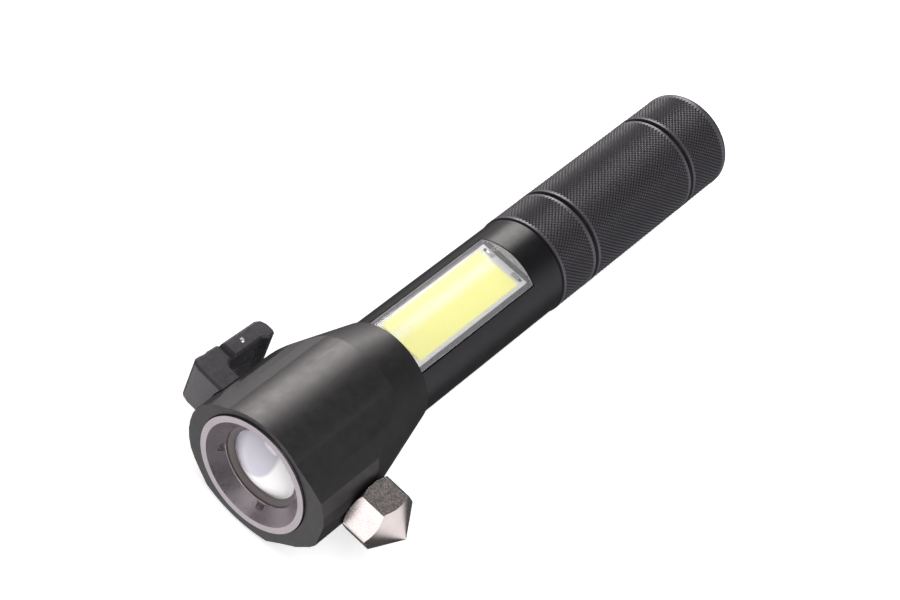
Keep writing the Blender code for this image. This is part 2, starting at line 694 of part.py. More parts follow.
def battery_tube():
    joint = CAP_FRONT - FIT
    front_relief, rear_relief = CAP_FRONT + 0.0003, CAP_FRONT + 0.0019
    tube = turned("battery_tube", [
        (SPIGOT_FRONT, SPIGOT_RADIUS - 0.0003), (SPIGOT_FRONT + 0.0003, SPIGOT_RADIUS),
        (0.1006, SPIGOT_RADIUS), (0.1006, 0.0113), (0.1022, 0.0113), (0.1022, SPIGOT_RADIUS),
        (TUBE_FRONT, SPIGOT_RADIUS),
        (TUBE_FRONT, KNURL_RADIUS - 0.0004), (TUBE_FRONT + 0.0004, KNURL_RADIUS),
        (GROOVE_STATION - GROOVE_HALF, KNURL_RADIUS), (GROOVE_STATION, KNURL_RADIUS - GROOVE_HALF),
        (GROOVE_STATION + GROOVE_HALF, KNURL_RADIUS), (joint - JOINT_CHAMFER, KNURL_RADIUS),
        (joint, KNURL_RADIUS - JOINT_CHAMFER), (joint, THREAD_RADIUS), (front_relief, THREAD_RADIUS),
        (front_relief, 0.0119), (rear_relief, 0.0119), (rear_relief, THREAD_RADIUS),
        (THREAD_REAR - 0.0003, THREAD_RADIUS), (THREAD_REAR, THREAD_RADIUS - 0.0003),
        (THREAD_REAR, TUBE_BORE), (SPIGOT_FRONT, TUBE_BORE),
    ])
    finish(tube, "black_anodised")
    finish(turned("body_oring", cord_section(0.1014, 0.0118, TUBE_CORD), FINE), "rubber")
    finish(turned("tail_oring", cord_section(CAP_FRONT + 0.0011, 0.0124, TUBE_CORD), FINE), "rubber")


def battery():
    finish(turned("battery_cell", [
        (CELL_FRONT, 0.0), (CELL_FRONT, CELL_RADIUS - 0.0006), (CELL_FRONT + 0.0006, CELL_RADIUS),
        (CELL_REAR - 0.0005, CELL_RADIUS), (CELL_REAR, CELL_RADIUS - 0.0005), (CELL_REAR, 0.0),
    ], MEDIUM, ring=False), "cell_wrap")
    finish(turned("battery_cap", [
        (0.0993, 0.0), (0.0993, 0.0025), (0.0996, 0.0028), (0.1006, 0.0028), (0.1006, 0.0),
    ], SMALL, ring=False), "steel")


def tail_cap():
    rear = arc((LENGTH - TAIL_ROUND, KNURL_RADIUS - TAIL_ROUND), TAIL_ROUND, 90, 0, 5)
    inner = THREAD_RADIUS + RUN
    finish(turned("tail_cap", [
        (CAP_FRONT, inner), (CAP_FRONT, KNURL_RADIUS - JOINT_CHAMFER),
        (CAP_FRONT + JOINT_CHAMFER, KNURL_RADIUS), *rear,
        (LENGTH, BUTTON_HOLE + 0.0004), (LENGTH - 0.0004, BUTTON_HOLE), (LENGTH - CAP_WALL, BUTTON_HOLE),
        (LENGTH - CAP_WALL, CAP_BORE), (THREAD_REAR + RUN, CAP_BORE), (THREAD_REAR + RUN, inner),
    ]), "black_anodised")
    spring = coil_route(0.1648, THREAD_REAR + 0.0016, 0.0040, 0.0048, 4.5)
    finish_wire(wire("tail_spring", spring, 0.0004), "steel")


def switch_group():
    """What the tail cap holds, from the retainer at the front to the boot behind the cap's opening."""
    front = THREAD_REAR
    end = LENGTH
    finish(turned("switch_retainer", [
        (front + 0.0005, 0.0106), (front + 0.0019, 0.0106), (front + 0.0019, 0.0080),
        (front + 0.0005, 0.0080),
    ], MEDIUM), "brass")
    finish(turned("switch_board", [
        (front + 0.0021, 0.0), (front + 0.0021, 0.0105), (front + 0.0033, 0.0105), (front + 0.0033, 0.0),
    ], MEDIUM, ring=False), "board_green")
    depth = end - 0.0033 - (front + 0.0035)
    body = block("switch_body", (depth, 0.0095, 0.0095), station_point(front + 0.0035 + depth / 2))
    softened(body, 0.0004, 1)
    hole = turned("plunger_hole", [
        (end - 0.0067, 0.0), (end - 0.0067, 0.0022), (end, 0.0022), (end, 0.0),
    ], SMALL, ring=False)
    boolean(body, as_cutter(hole))
    finish(body, "black_satin")
    finish(turned("switch_spacer", [
        (front + 0.0035, 0.0105), (end - 0.0031, 0.0105), (end - 0.0031, 0.0076), (front + 0.0035, 0.0076),
    ], MEDIUM), "white")
    finish(turned("switch_plunger", [
        (end - 0.0049, 0.0), (end - 0.0049, 0.0019), (end - 0.0021, 0.0019), (end - 0.0018, 0.0016),
        (end - 0.0018, 0.0),
    ], SMALL, ring=False), "white")
    finish(turned("switch_boot", [
        (end - 0.0015, 0.0), (end - 0.0015, 0.0038), (end - 0.0019, 0.0048), (end - 0.0029, 0.0051),
        (end - 0.0029, 0.0105), (end - 0.0019, 0.0105), (end - 0.0019, 0.0060), (end - 0.0013, 0.0058),
        (end - 0.0006, 0.0048), (end - 0.0004, 0.0036), (end - 0.0004, 0.0),
    ], MEDIUM, ring=False), "rubber")


clear_scene()
PARTS = new_collection("Emergency flashlight")
CUTTERS = new_collection("Cutters")

head_shell()
bezel_ring()
lens()
lens_rings()
hammer_bit()
cutter_frame()
cutter_blade()
cutter_screws()
front_barrel()
zoom_rings()
led_group()
side_light()
wires()
driver_group()
battery_tube()
battery()
tail_cap()
switch_group()
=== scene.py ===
"""The finished look of an emergency flashlight, laid out as an add-on and run as a script.

Metres, +Z up. The beam points along +X, the hammer along +Y, and the side light faces +Z.
A "station" is a distance behind the bezel's front face, along the axis.
"""

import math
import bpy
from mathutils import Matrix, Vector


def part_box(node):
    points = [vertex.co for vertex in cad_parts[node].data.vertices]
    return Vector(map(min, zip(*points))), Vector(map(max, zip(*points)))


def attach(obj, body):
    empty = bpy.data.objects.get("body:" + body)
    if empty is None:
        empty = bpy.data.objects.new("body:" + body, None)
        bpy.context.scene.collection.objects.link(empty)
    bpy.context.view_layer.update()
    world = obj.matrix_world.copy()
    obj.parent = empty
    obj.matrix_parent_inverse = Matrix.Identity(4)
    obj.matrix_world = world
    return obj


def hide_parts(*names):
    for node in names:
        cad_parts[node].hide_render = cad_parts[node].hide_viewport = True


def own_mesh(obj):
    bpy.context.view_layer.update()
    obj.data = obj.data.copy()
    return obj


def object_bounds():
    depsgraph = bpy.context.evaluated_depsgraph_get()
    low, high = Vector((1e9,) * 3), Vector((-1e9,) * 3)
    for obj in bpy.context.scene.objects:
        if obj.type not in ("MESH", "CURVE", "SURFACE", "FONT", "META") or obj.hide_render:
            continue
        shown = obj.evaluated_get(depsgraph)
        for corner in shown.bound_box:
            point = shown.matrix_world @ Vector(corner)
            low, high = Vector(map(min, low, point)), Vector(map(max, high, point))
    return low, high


bl_info = {
    "name": "Emergency Flashlight",
    "version": (1, 0, 0),
    "blender": (4, 5, 0),
    "location": "3D View > Sidebar > Flashlight",
    "description": "Builds the visible pieces of an emergency flashlight around its solids",
    "category": "Object",
}

import bmesh
import bpy
from bpy.props import FloatProperty, FloatVectorProperty, IntProperty, PointerProperty
from mathutils import Matrix, Vector

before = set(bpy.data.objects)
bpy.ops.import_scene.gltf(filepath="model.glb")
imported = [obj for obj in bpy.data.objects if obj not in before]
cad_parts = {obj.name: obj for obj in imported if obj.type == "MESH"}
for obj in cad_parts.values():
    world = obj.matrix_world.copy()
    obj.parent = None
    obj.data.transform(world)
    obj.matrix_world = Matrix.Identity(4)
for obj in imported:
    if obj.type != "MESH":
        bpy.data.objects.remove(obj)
CAD_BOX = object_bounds()

# Places that everything is measured from.
TUBE_LOW, TUBE_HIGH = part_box("battery_tube")
AXIS_Y = (TUBE_LOW.y + TUBE_HIGH.y) / 2
AXIS_Z = (TUBE_LOW.z + TUBE_HIGH.z) / 2
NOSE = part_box("bezel_ring")[1].x
FACE = Vector((NOSE, AXIS_Y, AXIS_Z))


def station(x):
    """The distance of a world x behind the bezel's face."""
    return NOSE - x


def span(node):
    """The first and last station of a solid."""
    low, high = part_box(node)
    return station(high.x), station(low.x)


def radius_of(node):
    """The radius of a solid that is turned about the axis."""
    low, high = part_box(node)
    return (high.y - low.y) / 2


HEAD_FRONT, HEAD_REAR = span("head_shell")
HEAD_LOW, HEAD_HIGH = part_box("head_shell")
HAMMER_WING = HEAD_HIGH.y - AXIS_Y
CUTTER_WING = AXIS_Y - HEAD_LOW.y
ROUND_TOP = HEAD_HIGH.z - AXIS_Z
SOLE = AXIS_Z - HEAD_LOW.z
BEZEL_RADIUS = radius_of("bezel_ring")
BARREL_RADIUS = radius_of("front_barrel")
GRIP_RADIUS = radius_of("battery_tube")
HAMMER_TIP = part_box("hammer_bit")[1].y - AXIS_Y
HAMMER_STATION = station(sum((corner.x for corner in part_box("hammer_bit")), 0.0) / 2)
CUTTER_REACH = AXIS_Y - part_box("cutter_frame")[0].y
CUTTER_HALF = (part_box("cutter_frame")[1].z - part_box("cutter_frame")[0].z) / 2
CAP_FRONT, CAP_REAR = span("tail_cap")

# Head: radius of the sole's curve, slope of the rear cone, and radii of the rear rim and the lens.
SOLE_ROUND = 0.0300
CONE_SLOPE = 0.268
REAR_RIM = 0.01475
LENS_RIM = 0.0094

# Hammer bit: corner radius, start of the point, and the stud inside the head, out from the axis.
HEX_RADIUS = 0.0089
HAMMER_SHOULDER = 0.0301
STUD_RADIUS = 0.0030
STUD_START = 0.0166

# Belt hook: end of its block, inside and outside of its arm, and stations of its blade and valleys.
BLOCK_REAR = 0.0160
ARM_INNER = 0.0239
ARM_OUTER = CUTTER_REACH - 0.0011
BLADE_STATION = 0.0179
VALLEY_STATION = 0.0166

# Tubes: inside of each, the grip's V groove, the plain band beside a knurl, and a wall's chamfer.
BARREL_INSIDE = 0.0124
TUBE_BORE = 0.0097
GROOVE_STATION = 0.1198
GROOVE_HALF = 0.0008
GROOVE_DEPTH = 0.0008
BAND = 0.00035
WALL_CHAMFER = 0.0007

# Which way the own Z of a turned piece runs.
REARWARDS = (0.0, -math.pi / 2, 0.0)
TO_HAMMER = (-math.pi / 2, 0.0, 0.0)
TO_CUTTER = (math.pi / 2, 0.0, 0.0)
UPRIGHT = (0.0, 0.0, 0.0)

# Sides of a large and a small turned piece, and degrees between the points of the head's arcs.
SIDES = 180
SMALL_SIDES = 48
HEAD_STEP = 2

# Colours that stay as they are.
PALE_PHOSPHOR = (0.95, 0.95, 0.60)
WHITE = (1.0, 1.0, 1.0)

# Camera: its place from the middle of the bezel's face, its axes and its lens.
CAMERA_OFFSET = Vector((0.3109, 0.1433, 0.4834))
CAMERA_RIGHT = Vector((-0.62727, 0.72418, 0.28654))
CAMERA_UP = Vector((-0.4813, -0.64971, 0.58841))
CAMERA_LENS = 99.2

# Softboxes: (name, direction, distance, size, power, colour).
SOFTBOXES = (
    ("back_softbox", (-0.58, -0.68, 0.45), 1.4, (1.0, 0.9), 18.0, (1.0, 0.955, 0.93)),
    ("front_softbox", (0.96, -0.22, 0.24), 1.4, (0.7, 0.35), 2.3, (1.0, 0.95, 0.94)),
    ("top_softbox", (0.25, 0.35, 1.0), 1.5, (0.9, 0.9), 9.0, WHITE),
)

# Soft patches of the surroundings: (direction, cosines where it starts and is full, strength).
STUDIO_GLOWS = (
    ((0.75, -0.25, -0.60), 0.50, 0.85, 0.95),
    ((-0.62, -0.76, 0.10), 0.80, 0.93, 0.40),
    ((-0.15, 0.95, 0.12), 0.60, 0.92, 1.00),
)
STUDIO_DIM = 0.07


class FlashlightSizes(bpy.types.PropertyGroup):
    """Sizes of the details that the solids leave plain."""

    knurl_columns: IntProperty(
        name="Knurl columns", description="Diamonds round the grip", default=84, min=12, max=200)
    knurl_pitch: FloatProperty(
        name="Knurl pitch", description="Length of one diamond along the grip",
        default=0.0014, precision=5, unit="LENGTH")
    knurl_depth: FloatProperty(
        name="Knurl depth", description="Depth of the knurl's grooves",
        default=0.00022, precision=5, unit="LENGTH")
    edge_round: FloatProperty(
        name="Moulded edge", description="Rounding of the head's edges",
        default=0.0004, precision=5, unit="LENGTH")
    metal_round: FloatProperty(
        name="Metal edge", description="Rounding of turned metal edges",
        default=0.00015, precision=5, unit="LENGTH")
    hook_chamfer: FloatProperty(
        name="Hook chamfer", description="Flat chamfer round the cutter's hook",
        default=0.0011, precision=5, unit="LENGTH")
    hex_chamfer: FloatProperty(
        name="Hammer chamfer", description="Flat chamfer along the hammer's six edges",
        default=0.00035, precision=5, unit="LENGTH")
    thread_pitch: FloatProperty(
        name="Thread pitch", description="Distance between the tail thread's ridges",
        default=0.0012, precision=5, unit="LENGTH")
    lens_rise: FloatProperty(
        name="Lens rise", description="Height of the lens's dome over its rim",
        default=0.00345, precision=5, unit="LENGTH")


class FlashlightColours(bpy.types.PropertyGroup):
    """Base colours of the finishes."""

    moulding: FloatVectorProperty(
        name="Moulding", description="Black plastic of the head and the hook",
        default=(0.012, 0.0115, 0.013), subtype="COLOR", min=0.0, max=1.0)
    anodising: FloatVectorProperty(
        name="Anodising", description="Black anodised tube and cap", default=(0.012, 0.0115, 0.0135),
        subtype="COLOR", min=0.0, max=1.0)
    bezel: FloatVectorProperty(
        name="Bezel", description="Bright grey bezel ring", default=(0.46, 0.42, 0.45),
        subtype="COLOR", min=0.0, max=1.0)
    nickel: FloatVectorProperty(
        name="Nickel", description="Plating of the hammer bit", default=(0.74, 0.68, 0.665),
        subtype="COLOR", min=0.0, max=1.0)
    steel: FloatVectorProperty(
        name="Steel", description="Blade, pin, bolts and spring", default=(0.58, 0.58, 0.60),
        subtype="COLOR", min=0.0, max=1.0)
    phosphor: FloatVectorProperty(
        name="Phosphor", description="Phosphor over the side light's chips", default=(0.93, 0.92, 0.26),
        subtype="COLOR", min=0.0, max=1.0)
    board: FloatVectorProperty(
        name="White board", description="Light boards and the lamp holder", default=(0.93, 0.92, 0.93),
        subtype="COLOR", min=0.0, max=1.0)
    # The lens's upper tone, which the lens finish also makes glow as painted light.
    lens: FloatVectorProperty(
        name="Lens", description="Milky glow of the lens", default=(0.60, 0.59, 0.68),
        subtype="COLOR", min=0.0, max=1.0)
    cell: FloatVectorProperty(
        name="Cell wrap", description="Shrink wrap of the battery cell", default=(0.05, 0.20, 0.42),
        subtype="COLOR", min=0.0, max=1.0)


# ---------------------------------------------------------------- shaping


def deselect():
    """Leaves edit mode, with nothing selected."""
    if bpy.context.object and bpy.context.object.mode != "OBJECT":
        bpy.ops.object.mode_set(mode="OBJECT")
    bpy.ops.object.select_all(action="DESELECT")


def make_active(piece):
    """Makes a piece the active object and the only one selected."""
    deselect()
    piece.select_set(True)
    bpy.context.view_layer.objects.active = piece


def named(name):
    """Names the primitive that was just added."""
    piece = bpy.context.object
    piece.name = name
    piece.data.name = name
    return piece


def apply_place(piece):
    """Moves a piece's place, turn and size into its mesh."""
    make_active(piece)
    bpy.ops.object.transform_apply(location=True, rotation=True, scale=True)
    return piece


def lay(piece, turn=REARWARDS, place=FACE):
    """Turns a piece from its own Z and moves its origin to a place."""
    piece.rotation_euler = turn
    piece.location = place
    return apply_place(piece)


def tidy_mesh(piece):
    """Merges doubled points and points every face outwards."""
    make_active(piece)
    bpy.ops.object.mode_set(mode="EDIT")
    bpy.ops.mesh.select_all(action="SELECT")
    bpy.ops.mesh.remove_doubles(threshold=0.000001)
    bpy.ops.mesh.normals_make_consistent(inside=False)
    bpy.ops.object.mode_set(mode="OBJECT")
    return piece


def turned(name, profile, sides=SIDES, ring=False):
    """A turned piece about Z: a circle, extruded and resized along (distance, radius) pairs.

    A ring's last edge is bridged to its first, and any other piece is closed with flat ends."""
    deselect()
    start, radius = profile[0]
    bpy.ops.mesh.primitive_circle_add(vertices=sides, radius=radius, location=(0.0, 0.0, start))
    piece = named(name)
    bpy.ops.object.mode_set(mode="EDIT")
    bpy.ops.mesh.select_all(action="SELECT")
    for (before, old), (after, new) in zip(profile, profile[1:]):
        bpy.ops.mesh.extrude_region_move(
            TRANSFORM_OT_translate={"value": (0.0, 0.0, after - before)})
        if new != old:
            share = new / old
            bpy.ops.transform.resize(value=(share, share, 1.0), center_override=(0.0, 0.0, after))
    bpy.ops.mesh.select_all(action="DESELECT")
    bpy.ops.mesh.select_non_manifold()
    if ring:
        bpy.ops.mesh.bridge_edge_loops()
    else:
        bpy.ops.mesh.fill_holes(sides=0)
    bpy.ops.object.mode_set(mode="OBJECT")
    return tidy_mesh(apply_place(piece))


def outlined(name, points, depth):
    """A flat outline in its own XY plane, given a depth along Z about that plane."""
    deselect()
    bpy.ops.object.add(type="CURVE")
    guide = bpy.context.object
    guide.data.dimensions = "2D"
    guide.data.fill_mode = "BOTH"
    guide.data.extrude = depth / 2
    spline = guide.data.splines.new("POLY")
    spline.points.add(len(points) - 1)
    for point, (x, y) in zip(spline.points, points):
        point.co = (x, y, 0.0, 1.0)
    spline.use_cyclic_u = True
    bpy.ops.object.convert(target="MESH")
    return flatten_ends(tidy_mesh(named(name)))


def flatten_ends(piece):
    """Makes each end of an outlined piece one flat face."""
    make_active(piece)
    bpy.ops.object.mode_set(mode="EDIT")
    mesh = bmesh.from_edit_mesh(piece.data)
    for face in mesh.faces:
        face.select = abs(face.normal.z) > 0.5
    bpy.context.tool_settings.mesh_select_mode = (False, False, True)
    bmesh.update_edit_mesh(piece.data)
    bpy.ops.mesh.dissolve_limited(angle_limit=math.radians(0.5))
    bpy.ops.object.mode_set(mode="OBJECT")
    bpy.context.tool_settings.mesh_select_mode = (True, False, False)
    return piece


def stand_across(piece, x):
    """Stands an outline of (towards the hammer, up) across the beam, its middle at that X."""
    piece.matrix_world = Matrix(
        ((0, 0, 1, x), (1, 0, 0, AXIS_Y), (0, 1, 0, AXIS_Z), (0, 0, 0, 1)))
    return tidy_mesh(apply_place(piece))


def stand_side_on(piece):
    """Stands an outline of (station, distance out from the axis) on the cutter's side."""
    piece.matrix_world = Matrix(
        ((-1, 0, 0, NOSE), (0, -1, 0, AXIS_Y), (0, 0, 1, AXIS_Z), (0, 0, 0, 1)))
    return apply_place(piece)


def brick(name, size, centre):
    """A box of that size about its centre."""
    deselect()
    bpy.ops.mesh.primitive_cube_add(size=1.0, location=centre)
    piece = named(name)
    piece.scale = size
    return apply_place(piece)


def block_like(name, node):
    """A box that fills a solid's place."""
    low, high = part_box(node)
    return brick(name, high - low, (low + high) / 2)


def apply_modifier(piece, kind, **settings):
    """Adds a modifier, sets it and applies it."""
    make_active(piece)
    bpy.ops.object.modifier_add(type=kind)
    modifier = piece.modifiers[-1]
    for key, value in settings.items():
        setattr(modifier, key, value)
    bpy.ops.object.modifier_apply(modifier=modifier.name)
    return piece


def cut(piece, tool, how="DIFFERENCE"):
    """Cuts, joins or trims a piece with a tool, which is then gone."""
    apply_modifier(piece, "BOOLEAN", operation=how, object=tool, solver="EXACT")
    bpy.data.objects.remove(tool)
    return piece


def soften(piece, width, segments=3, angle=30.0):
    """Rounds every edge sharper than the angle, in degrees. One segment makes a flat chamfer."""
    return apply_modifier(
        piece, "BEVEL", width=width, segments=segments, limit_method="ANGLE",
        angle_limit=math.radians(angle), use_clamp_overlap=True, miter_outer="MITER_ARC")


def smooth(piece, angle=30.0):
    """Smooth shading, with every edge sharper than the angle left sharp."""
    make_active(piece)
    bpy.ops.object.shade_smooth_by_angle(angle=math.radians(angle))
    return piece


def even_shading(piece, angle=40.0):
    """Smooth shading that leaves the large flat faces flat."""
    smooth(piece, angle)
    return apply_modifier(piece, "WEIGHTED_NORMAL", keep_sharp=True, weight=100)


def dress(piece, finish, body, slot, *nodes):
    """Gives a piece its finish and its body, and lets it stand for its solids."""
    piece.data.materials.clear()
    piece.data.materials.append(finish)
    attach(piece, body)
    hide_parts(*nodes)
    return piece


def arc(centre, radius, first, last, step):
    """Points of an arc between two angles in degrees, both ends included."""
    count = max(1, round(abs(last - first) / step))
    angles = [math.radians(first + (last - first) * i / count) for i in range(count + 1)]
    return [(centre[0] + radius * math.cos(a), centre[1] + radius * math.sin(a)) for a in angles]


def ring_of(name, distance, radius, thickness):
    """A round cord ring about the axis, with its cord's radius as the thickness."""
    deselect()
    bpy.ops.mesh.primitive_torus_add(
        major_radius=radius, minor_radius=thickness, major_segments=96, minor_segments=16,
        location=(0.0, 0.0, distance))
    piece = apply_place(named(name))
    bpy.ops.object.shade_smooth()
    return lay(piece)


# ---------------------------------------------------------------- finishes


def new_finish(name):
    """An empty Principled finish, with its nodes, links, shader and object coordinates."""
    finish = bpy.data.materials.new(name)
    finish.use_nodes = True
    nodes, links = finish.node_tree.nodes, finish.node_tree.links
    shader = nodes["Principled BSDF"]
    coordinates = nodes.new("ShaderNodeTexCoord")
    return finish, nodes, links, shader, coordinates.outputs["Object"]


def toned(colour, share):
    """A colour made lighter or darker by a share, and no brighter than white."""
    return tuple(min(1.0, part * share) for part in colour)


def noise(nodes, links, place, scale, detail=3.0, roughness=0.55):
    """Cloudy noise with that many patches to the metre."""
    texture = nodes.new("ShaderNodeTexNoise")
    texture.inputs["Scale"].default_value = scale
    texture.inputs["Detail"].default_value = detail
    texture.inputs["Roughness"].default_value = roughness
    links.new(place, texture.inputs["Vector"])
    return texture.outputs["Fac"]


def sum_of(nodes, links, operation, first, *others):
    """A sum with a socket first, and then sockets or numbers."""
    step = nodes.new("ShaderNodeMath")
    step.operation = operation
    links.new(first, step.inputs[0])
    for number, other in enumerate(others, 1):
        if isinstance(other, float):
            step.inputs[number].default_value = other
        else:
            links.new(other, step.inputs[number])
    return step.outputs["Value"]


def distance_from(nodes, links, place, centre):
    """Distance from a line along the beam through (y, z)."""
    centred = nodes.new("ShaderNodeMapping")
    centred.inputs["Location"].default_value = (0.0, -centre[0], -centre[1])
    centred.inputs["Scale"].default_value = (0.0, 1.0, 1.0)
    links.new(place, centred.inputs["Vector"])
    length = nodes.new("ShaderNodeVectorMath")
    length.operation = "LENGTH"
    links.new(centred.outputs["Vector"], length.inputs[0])
    return length.outputs["Value"]


def blend_colours(nodes, links, share, first, second, low=0.3, high=0.7):
    """A colour between two, as the share goes from low to high."""
    ramp = nodes.new("ShaderNodeValToRGB")
    ramp.color_ramp.elements[0].position = low
    ramp.color_ramp.elements[0].color = (*first, 1.0)
    ramp.color_ramp.elements[1].position = high
    ramp.color_ramp.elements[1].color = (*second, 1.0)
    links.new(share, ramp.inputs["Fac"])
    return ramp.outputs["Color"]


def spread(nodes, links, share, low, high, start=0.3, end=0.7):
    """A number between low and high, as the share goes from start to end."""
    reach = nodes.new("ShaderNodeMapRange")
    reach.inputs["From Min"].default_value = start
    reach.inputs["From Max"].default_value = end
    reach.inputs["To Min"].default_value = low
    reach.inputs["To Max"].default_value = high
    links.new(share, reach.inputs["Value"])
    return reach.outputs["Result"]


def bump(nodes, links, shader, height, depth):
    """Fine relief of that depth, in metres."""
    relief = nodes.new("ShaderNodeBump")
    relief.inputs["Strength"].default_value = 1.0
    relief.inputs["Distance"].default_value = depth
    links.new(height, relief.inputs["Height"])
    links.new(relief.outputs["Normal"], shader.inputs["Normal"])


def mottle(nodes, links, shader, place, patches, first, second):
    """Faint patches of two base colours."""
    tone = blend_colours(nodes, links, noise(nodes, links, place, patches), first, second)
    links.new(tone, shader.inputs["Base Color"])


def uneven_gloss(nodes, links, shader, place, patches, gloss):
    """Roughness that wanders between the two numbers of gloss."""
    wander = spread(nodes, links, noise(nodes, links, place, patches), *gloss)
    links.new(wander, shader.inputs["Roughness"])


def grained(name, colour, lift, gloss, metallic=0.0, grain=3200.0, patches=160.0, relief=0.000006):
    """A finish with faint patches of a lighter tone, uneven gloss and a fine grain."""
    finish, nodes, links, shader, place = new_finish(name)
    mottle(nodes, links, shader, place, patches, colour, toned(colour, lift))
    uneven_gloss(nodes, links, shader, place, patches * 4.0, gloss)
    shader.inputs["Metallic"].default_value = metallic
    bump(nodes, links, shader, noise(nodes, links, place, grain, 2.0), relief)
    return finish


def moulded_black(colours):
    """Matt black plastic of the head, with a soft sheen."""
    finish = grained(
        "moulded black", colours.moulding, lift=1.35, gloss=(0.38, 0.47), grain=2600.0, patches=120.0,
        relief=0.000003)
    finish.node_tree.nodes["Principled BSDF"].inputs["Specular IOR Level"].default_value = 0.65
    return finish


def hook_black(colours):
    """Smoother and paler black plastic of the belt hook."""
    return grained(
        "gloss black", toned(colours.moulding, 4.5), lift=1.2, gloss=(0.24, 0.32), grain=2600.0,
        patches=140.0, relief=0.000002)


def anodised_black(colours):
    """Black anodising with fine marks round the turned tube."""
    finish, nodes, links, shader, place = new_finish("anodised black")
    mottle(nodes, links, shader, place, 180.0, colours.anodising, toned(colours.anodising, 1.4))
    uneven_gloss(nodes, links, shader, place, 900.0, (0.28, 0.38))
    shader.inputs["Metallic"].default_value = 0.35
    marks = nodes.new("ShaderNodeMapping")
    marks.inputs["Scale"].default_value = (9000.0, 150.0, 150.0)
    links.new(place, marks.inputs["Vector"])
    bump(nodes, links, shader, noise(nodes, links, marks.outputs["Vector"], 1.0, 1.0), 0.000003)
    return finish


def knurled_black(colours, sizes):
    """Anodising lighter on the knurl's points, partly as wear and partly as a painted highlight, and
    plain black in its grooves.
    """
    finish, nodes, links, shader, place = new_finish("knurled black")
    away = distance_from(nodes, links, place, (AXIS_Y, AXIS_Z))
    height = spread(nodes, links, away, 0.0, 1.0, GRIP_RADIUS - sizes.knurl_depth, GRIP_RADIUS)
    # The points' lighter tone is partly wear and partly a painted highlight.
    wear_and_painted_highlight = toned(colours.anodising, 9.0)
    tone = blend_colours(nodes, links, height, colours.anodising, wear_and_painted_highlight, 0.1, 0.95)
    links.new(tone, shader.inputs["Base Color"])
    uneven_gloss(nodes, links, shader, place, 700.0, (0.34, 0.46))
    shader.inputs["Metallic"].default_value = 0.35
    bump(nodes, links, shader, noise(nodes, links, place, 5200.0, 2.0), 0.000004)
    return finish


def bezel_metal(colours):
    """Smooth bright grey metal of the bezel ring."""
    finish, nodes, links, shader, place = new_finish("bezel metal")
    mottle(nodes, links, shader, place, 240.0, colours.bezel, toned(colours.bezel, 1.1))
    uneven_gloss(nodes, links, shader, place, 900.0, (0.26, 0.36))
    shader.inputs["Metallic"].default_value = 0.95
    return finish


def nickel_plate(colours):
    """Plated casting: bright, a little warm, and mottled."""
    return grained(
        "nickel plate", colours.nickel, lift=1.10, gloss=(0.20, 0.29), metallic=1.0, grain=1200.0,
        patches=420.0, relief=0.000001)


def bright_steel(colours):
    """Bare steel of the blade, pin, bolts and spring."""
    return grained("bright steel", colours.steel, lift=1.15, gloss=(0.24, 0.36), metallic=1.0)


def plain(name, colour, gloss, metallic=0.0, relief=0.000004):
    """An even finish of one colour, with a fine grain."""
    return grained(name, colour, 1.15, gloss, metallic, grain=2200.0, patches=260.0, relief=relief)


def rubber():
    """Dull black rubber."""
    return grained(
        "soft rubber", (0.018, 0.018, 0.019), lift=1.3, gloss=(0.62, 0.75), grain=2200.0,
        patches=300.0, relief=0.00001)


def turned_metal(name, colour, gloss):
    """Bare metal with fine rings from the lathe."""
    finish, nodes, links, shader, place = new_finish(name)
    rings = nodes.new("ShaderNodeTexWave")
    rings.wave_type = "BANDS"
    rings.bands_direction = "X"
    rings.inputs["Scale"].default_value = 1800.0
    rings.inputs["Distortion"].default_value = 0.4
    links.new(place, rings.inputs["Vector"])
    tone = blend_colours(nodes, links, rings.outputs["Fac"], toned(colour, 0.85), colour, 0.2, 0.8)
    links.new(tone, shader.inputs["Base Color"])
    uneven_gloss(nodes, links, shader, place, 500.0, gloss)
    shader.inputs["Metallic"].default_value = 1.0
    bump(nodes, links, shader, rings.outputs["Fac"], 0.000004)
    return finish


def circuit_green():
    """Solder mask with lighter copper tracks under it."""
    finish, nodes, links, shader, place = new_finish("circuit green")
    tracks = nodes.new("ShaderNodeTexVoronoi")
    tracks.feature = "DISTANCE_TO_EDGE"
    tracks.inputs["Scale"].default_value = 420.0
    links.new(place, tracks.inputs["Vector"])
    copper, mask = (0.07, 0.30, 0.13), (0.02, 0.13, 0.05)
    tone = blend_colours(nodes, links, tracks.outputs["Distance"], copper, mask, 0.04, 0.08)
    links.new(tone, shader.inputs["Base Color"])
    uneven_gloss(nodes, links, shader, place, 900.0, (0.30, 0.42))
    bump(nodes, links, shader, tracks.outputs["Distance"], 0.00001)
    return finish


def phosphor_gel(colours):
    """Pale yellow gel, cloudy, with a whiter band beside the middle on the cutter's side, and a faint
    painted glow.
    """
    band_aside, band_full, band_end, waver = 0.0022, 0.0014, 0.0036, 0.0022
    finish, nodes, links, shader, place = new_finish("phosphor gel")
    axes = nodes.new("ShaderNodeSeparateXYZ")
    links.new(place, axes.inputs["Vector"])
    across = sum_of(nodes, links, "SUBTRACT", axes.outputs["Y"], AXIS_Y - band_aside)
    away = sum_of(nodes, links, "ABSOLUTE", across)
    cloud = noise(nodes, links, place, 260.0, 4.0)
    wavy = sum_of(nodes, links, "MULTIPLY_ADD", cloud, waver, away)
    share = spread(nodes, links, wavy, 0.0, 1.0, band_full, band_end)
    tone = blend_colours(nodes, links, share, PALE_PHOSPHOR, colours.phosphor, 0.0, 1.0)
    links.new(tone, shader.inputs["Base Color"])
    # Painted glow: the gel's tones glow faintly so it looks lit by the studio's light; the side light is
    # not on.
    links.new(tone, shader.inputs["Emission Color"])
    shader.inputs["Emission Strength"].default_value = 0.25
    shader.inputs["Roughness"].default_value = 0.5
    bump(nodes, links, shader, noise(nodes, links, place, 1500.0), 0.00002)
    return finish


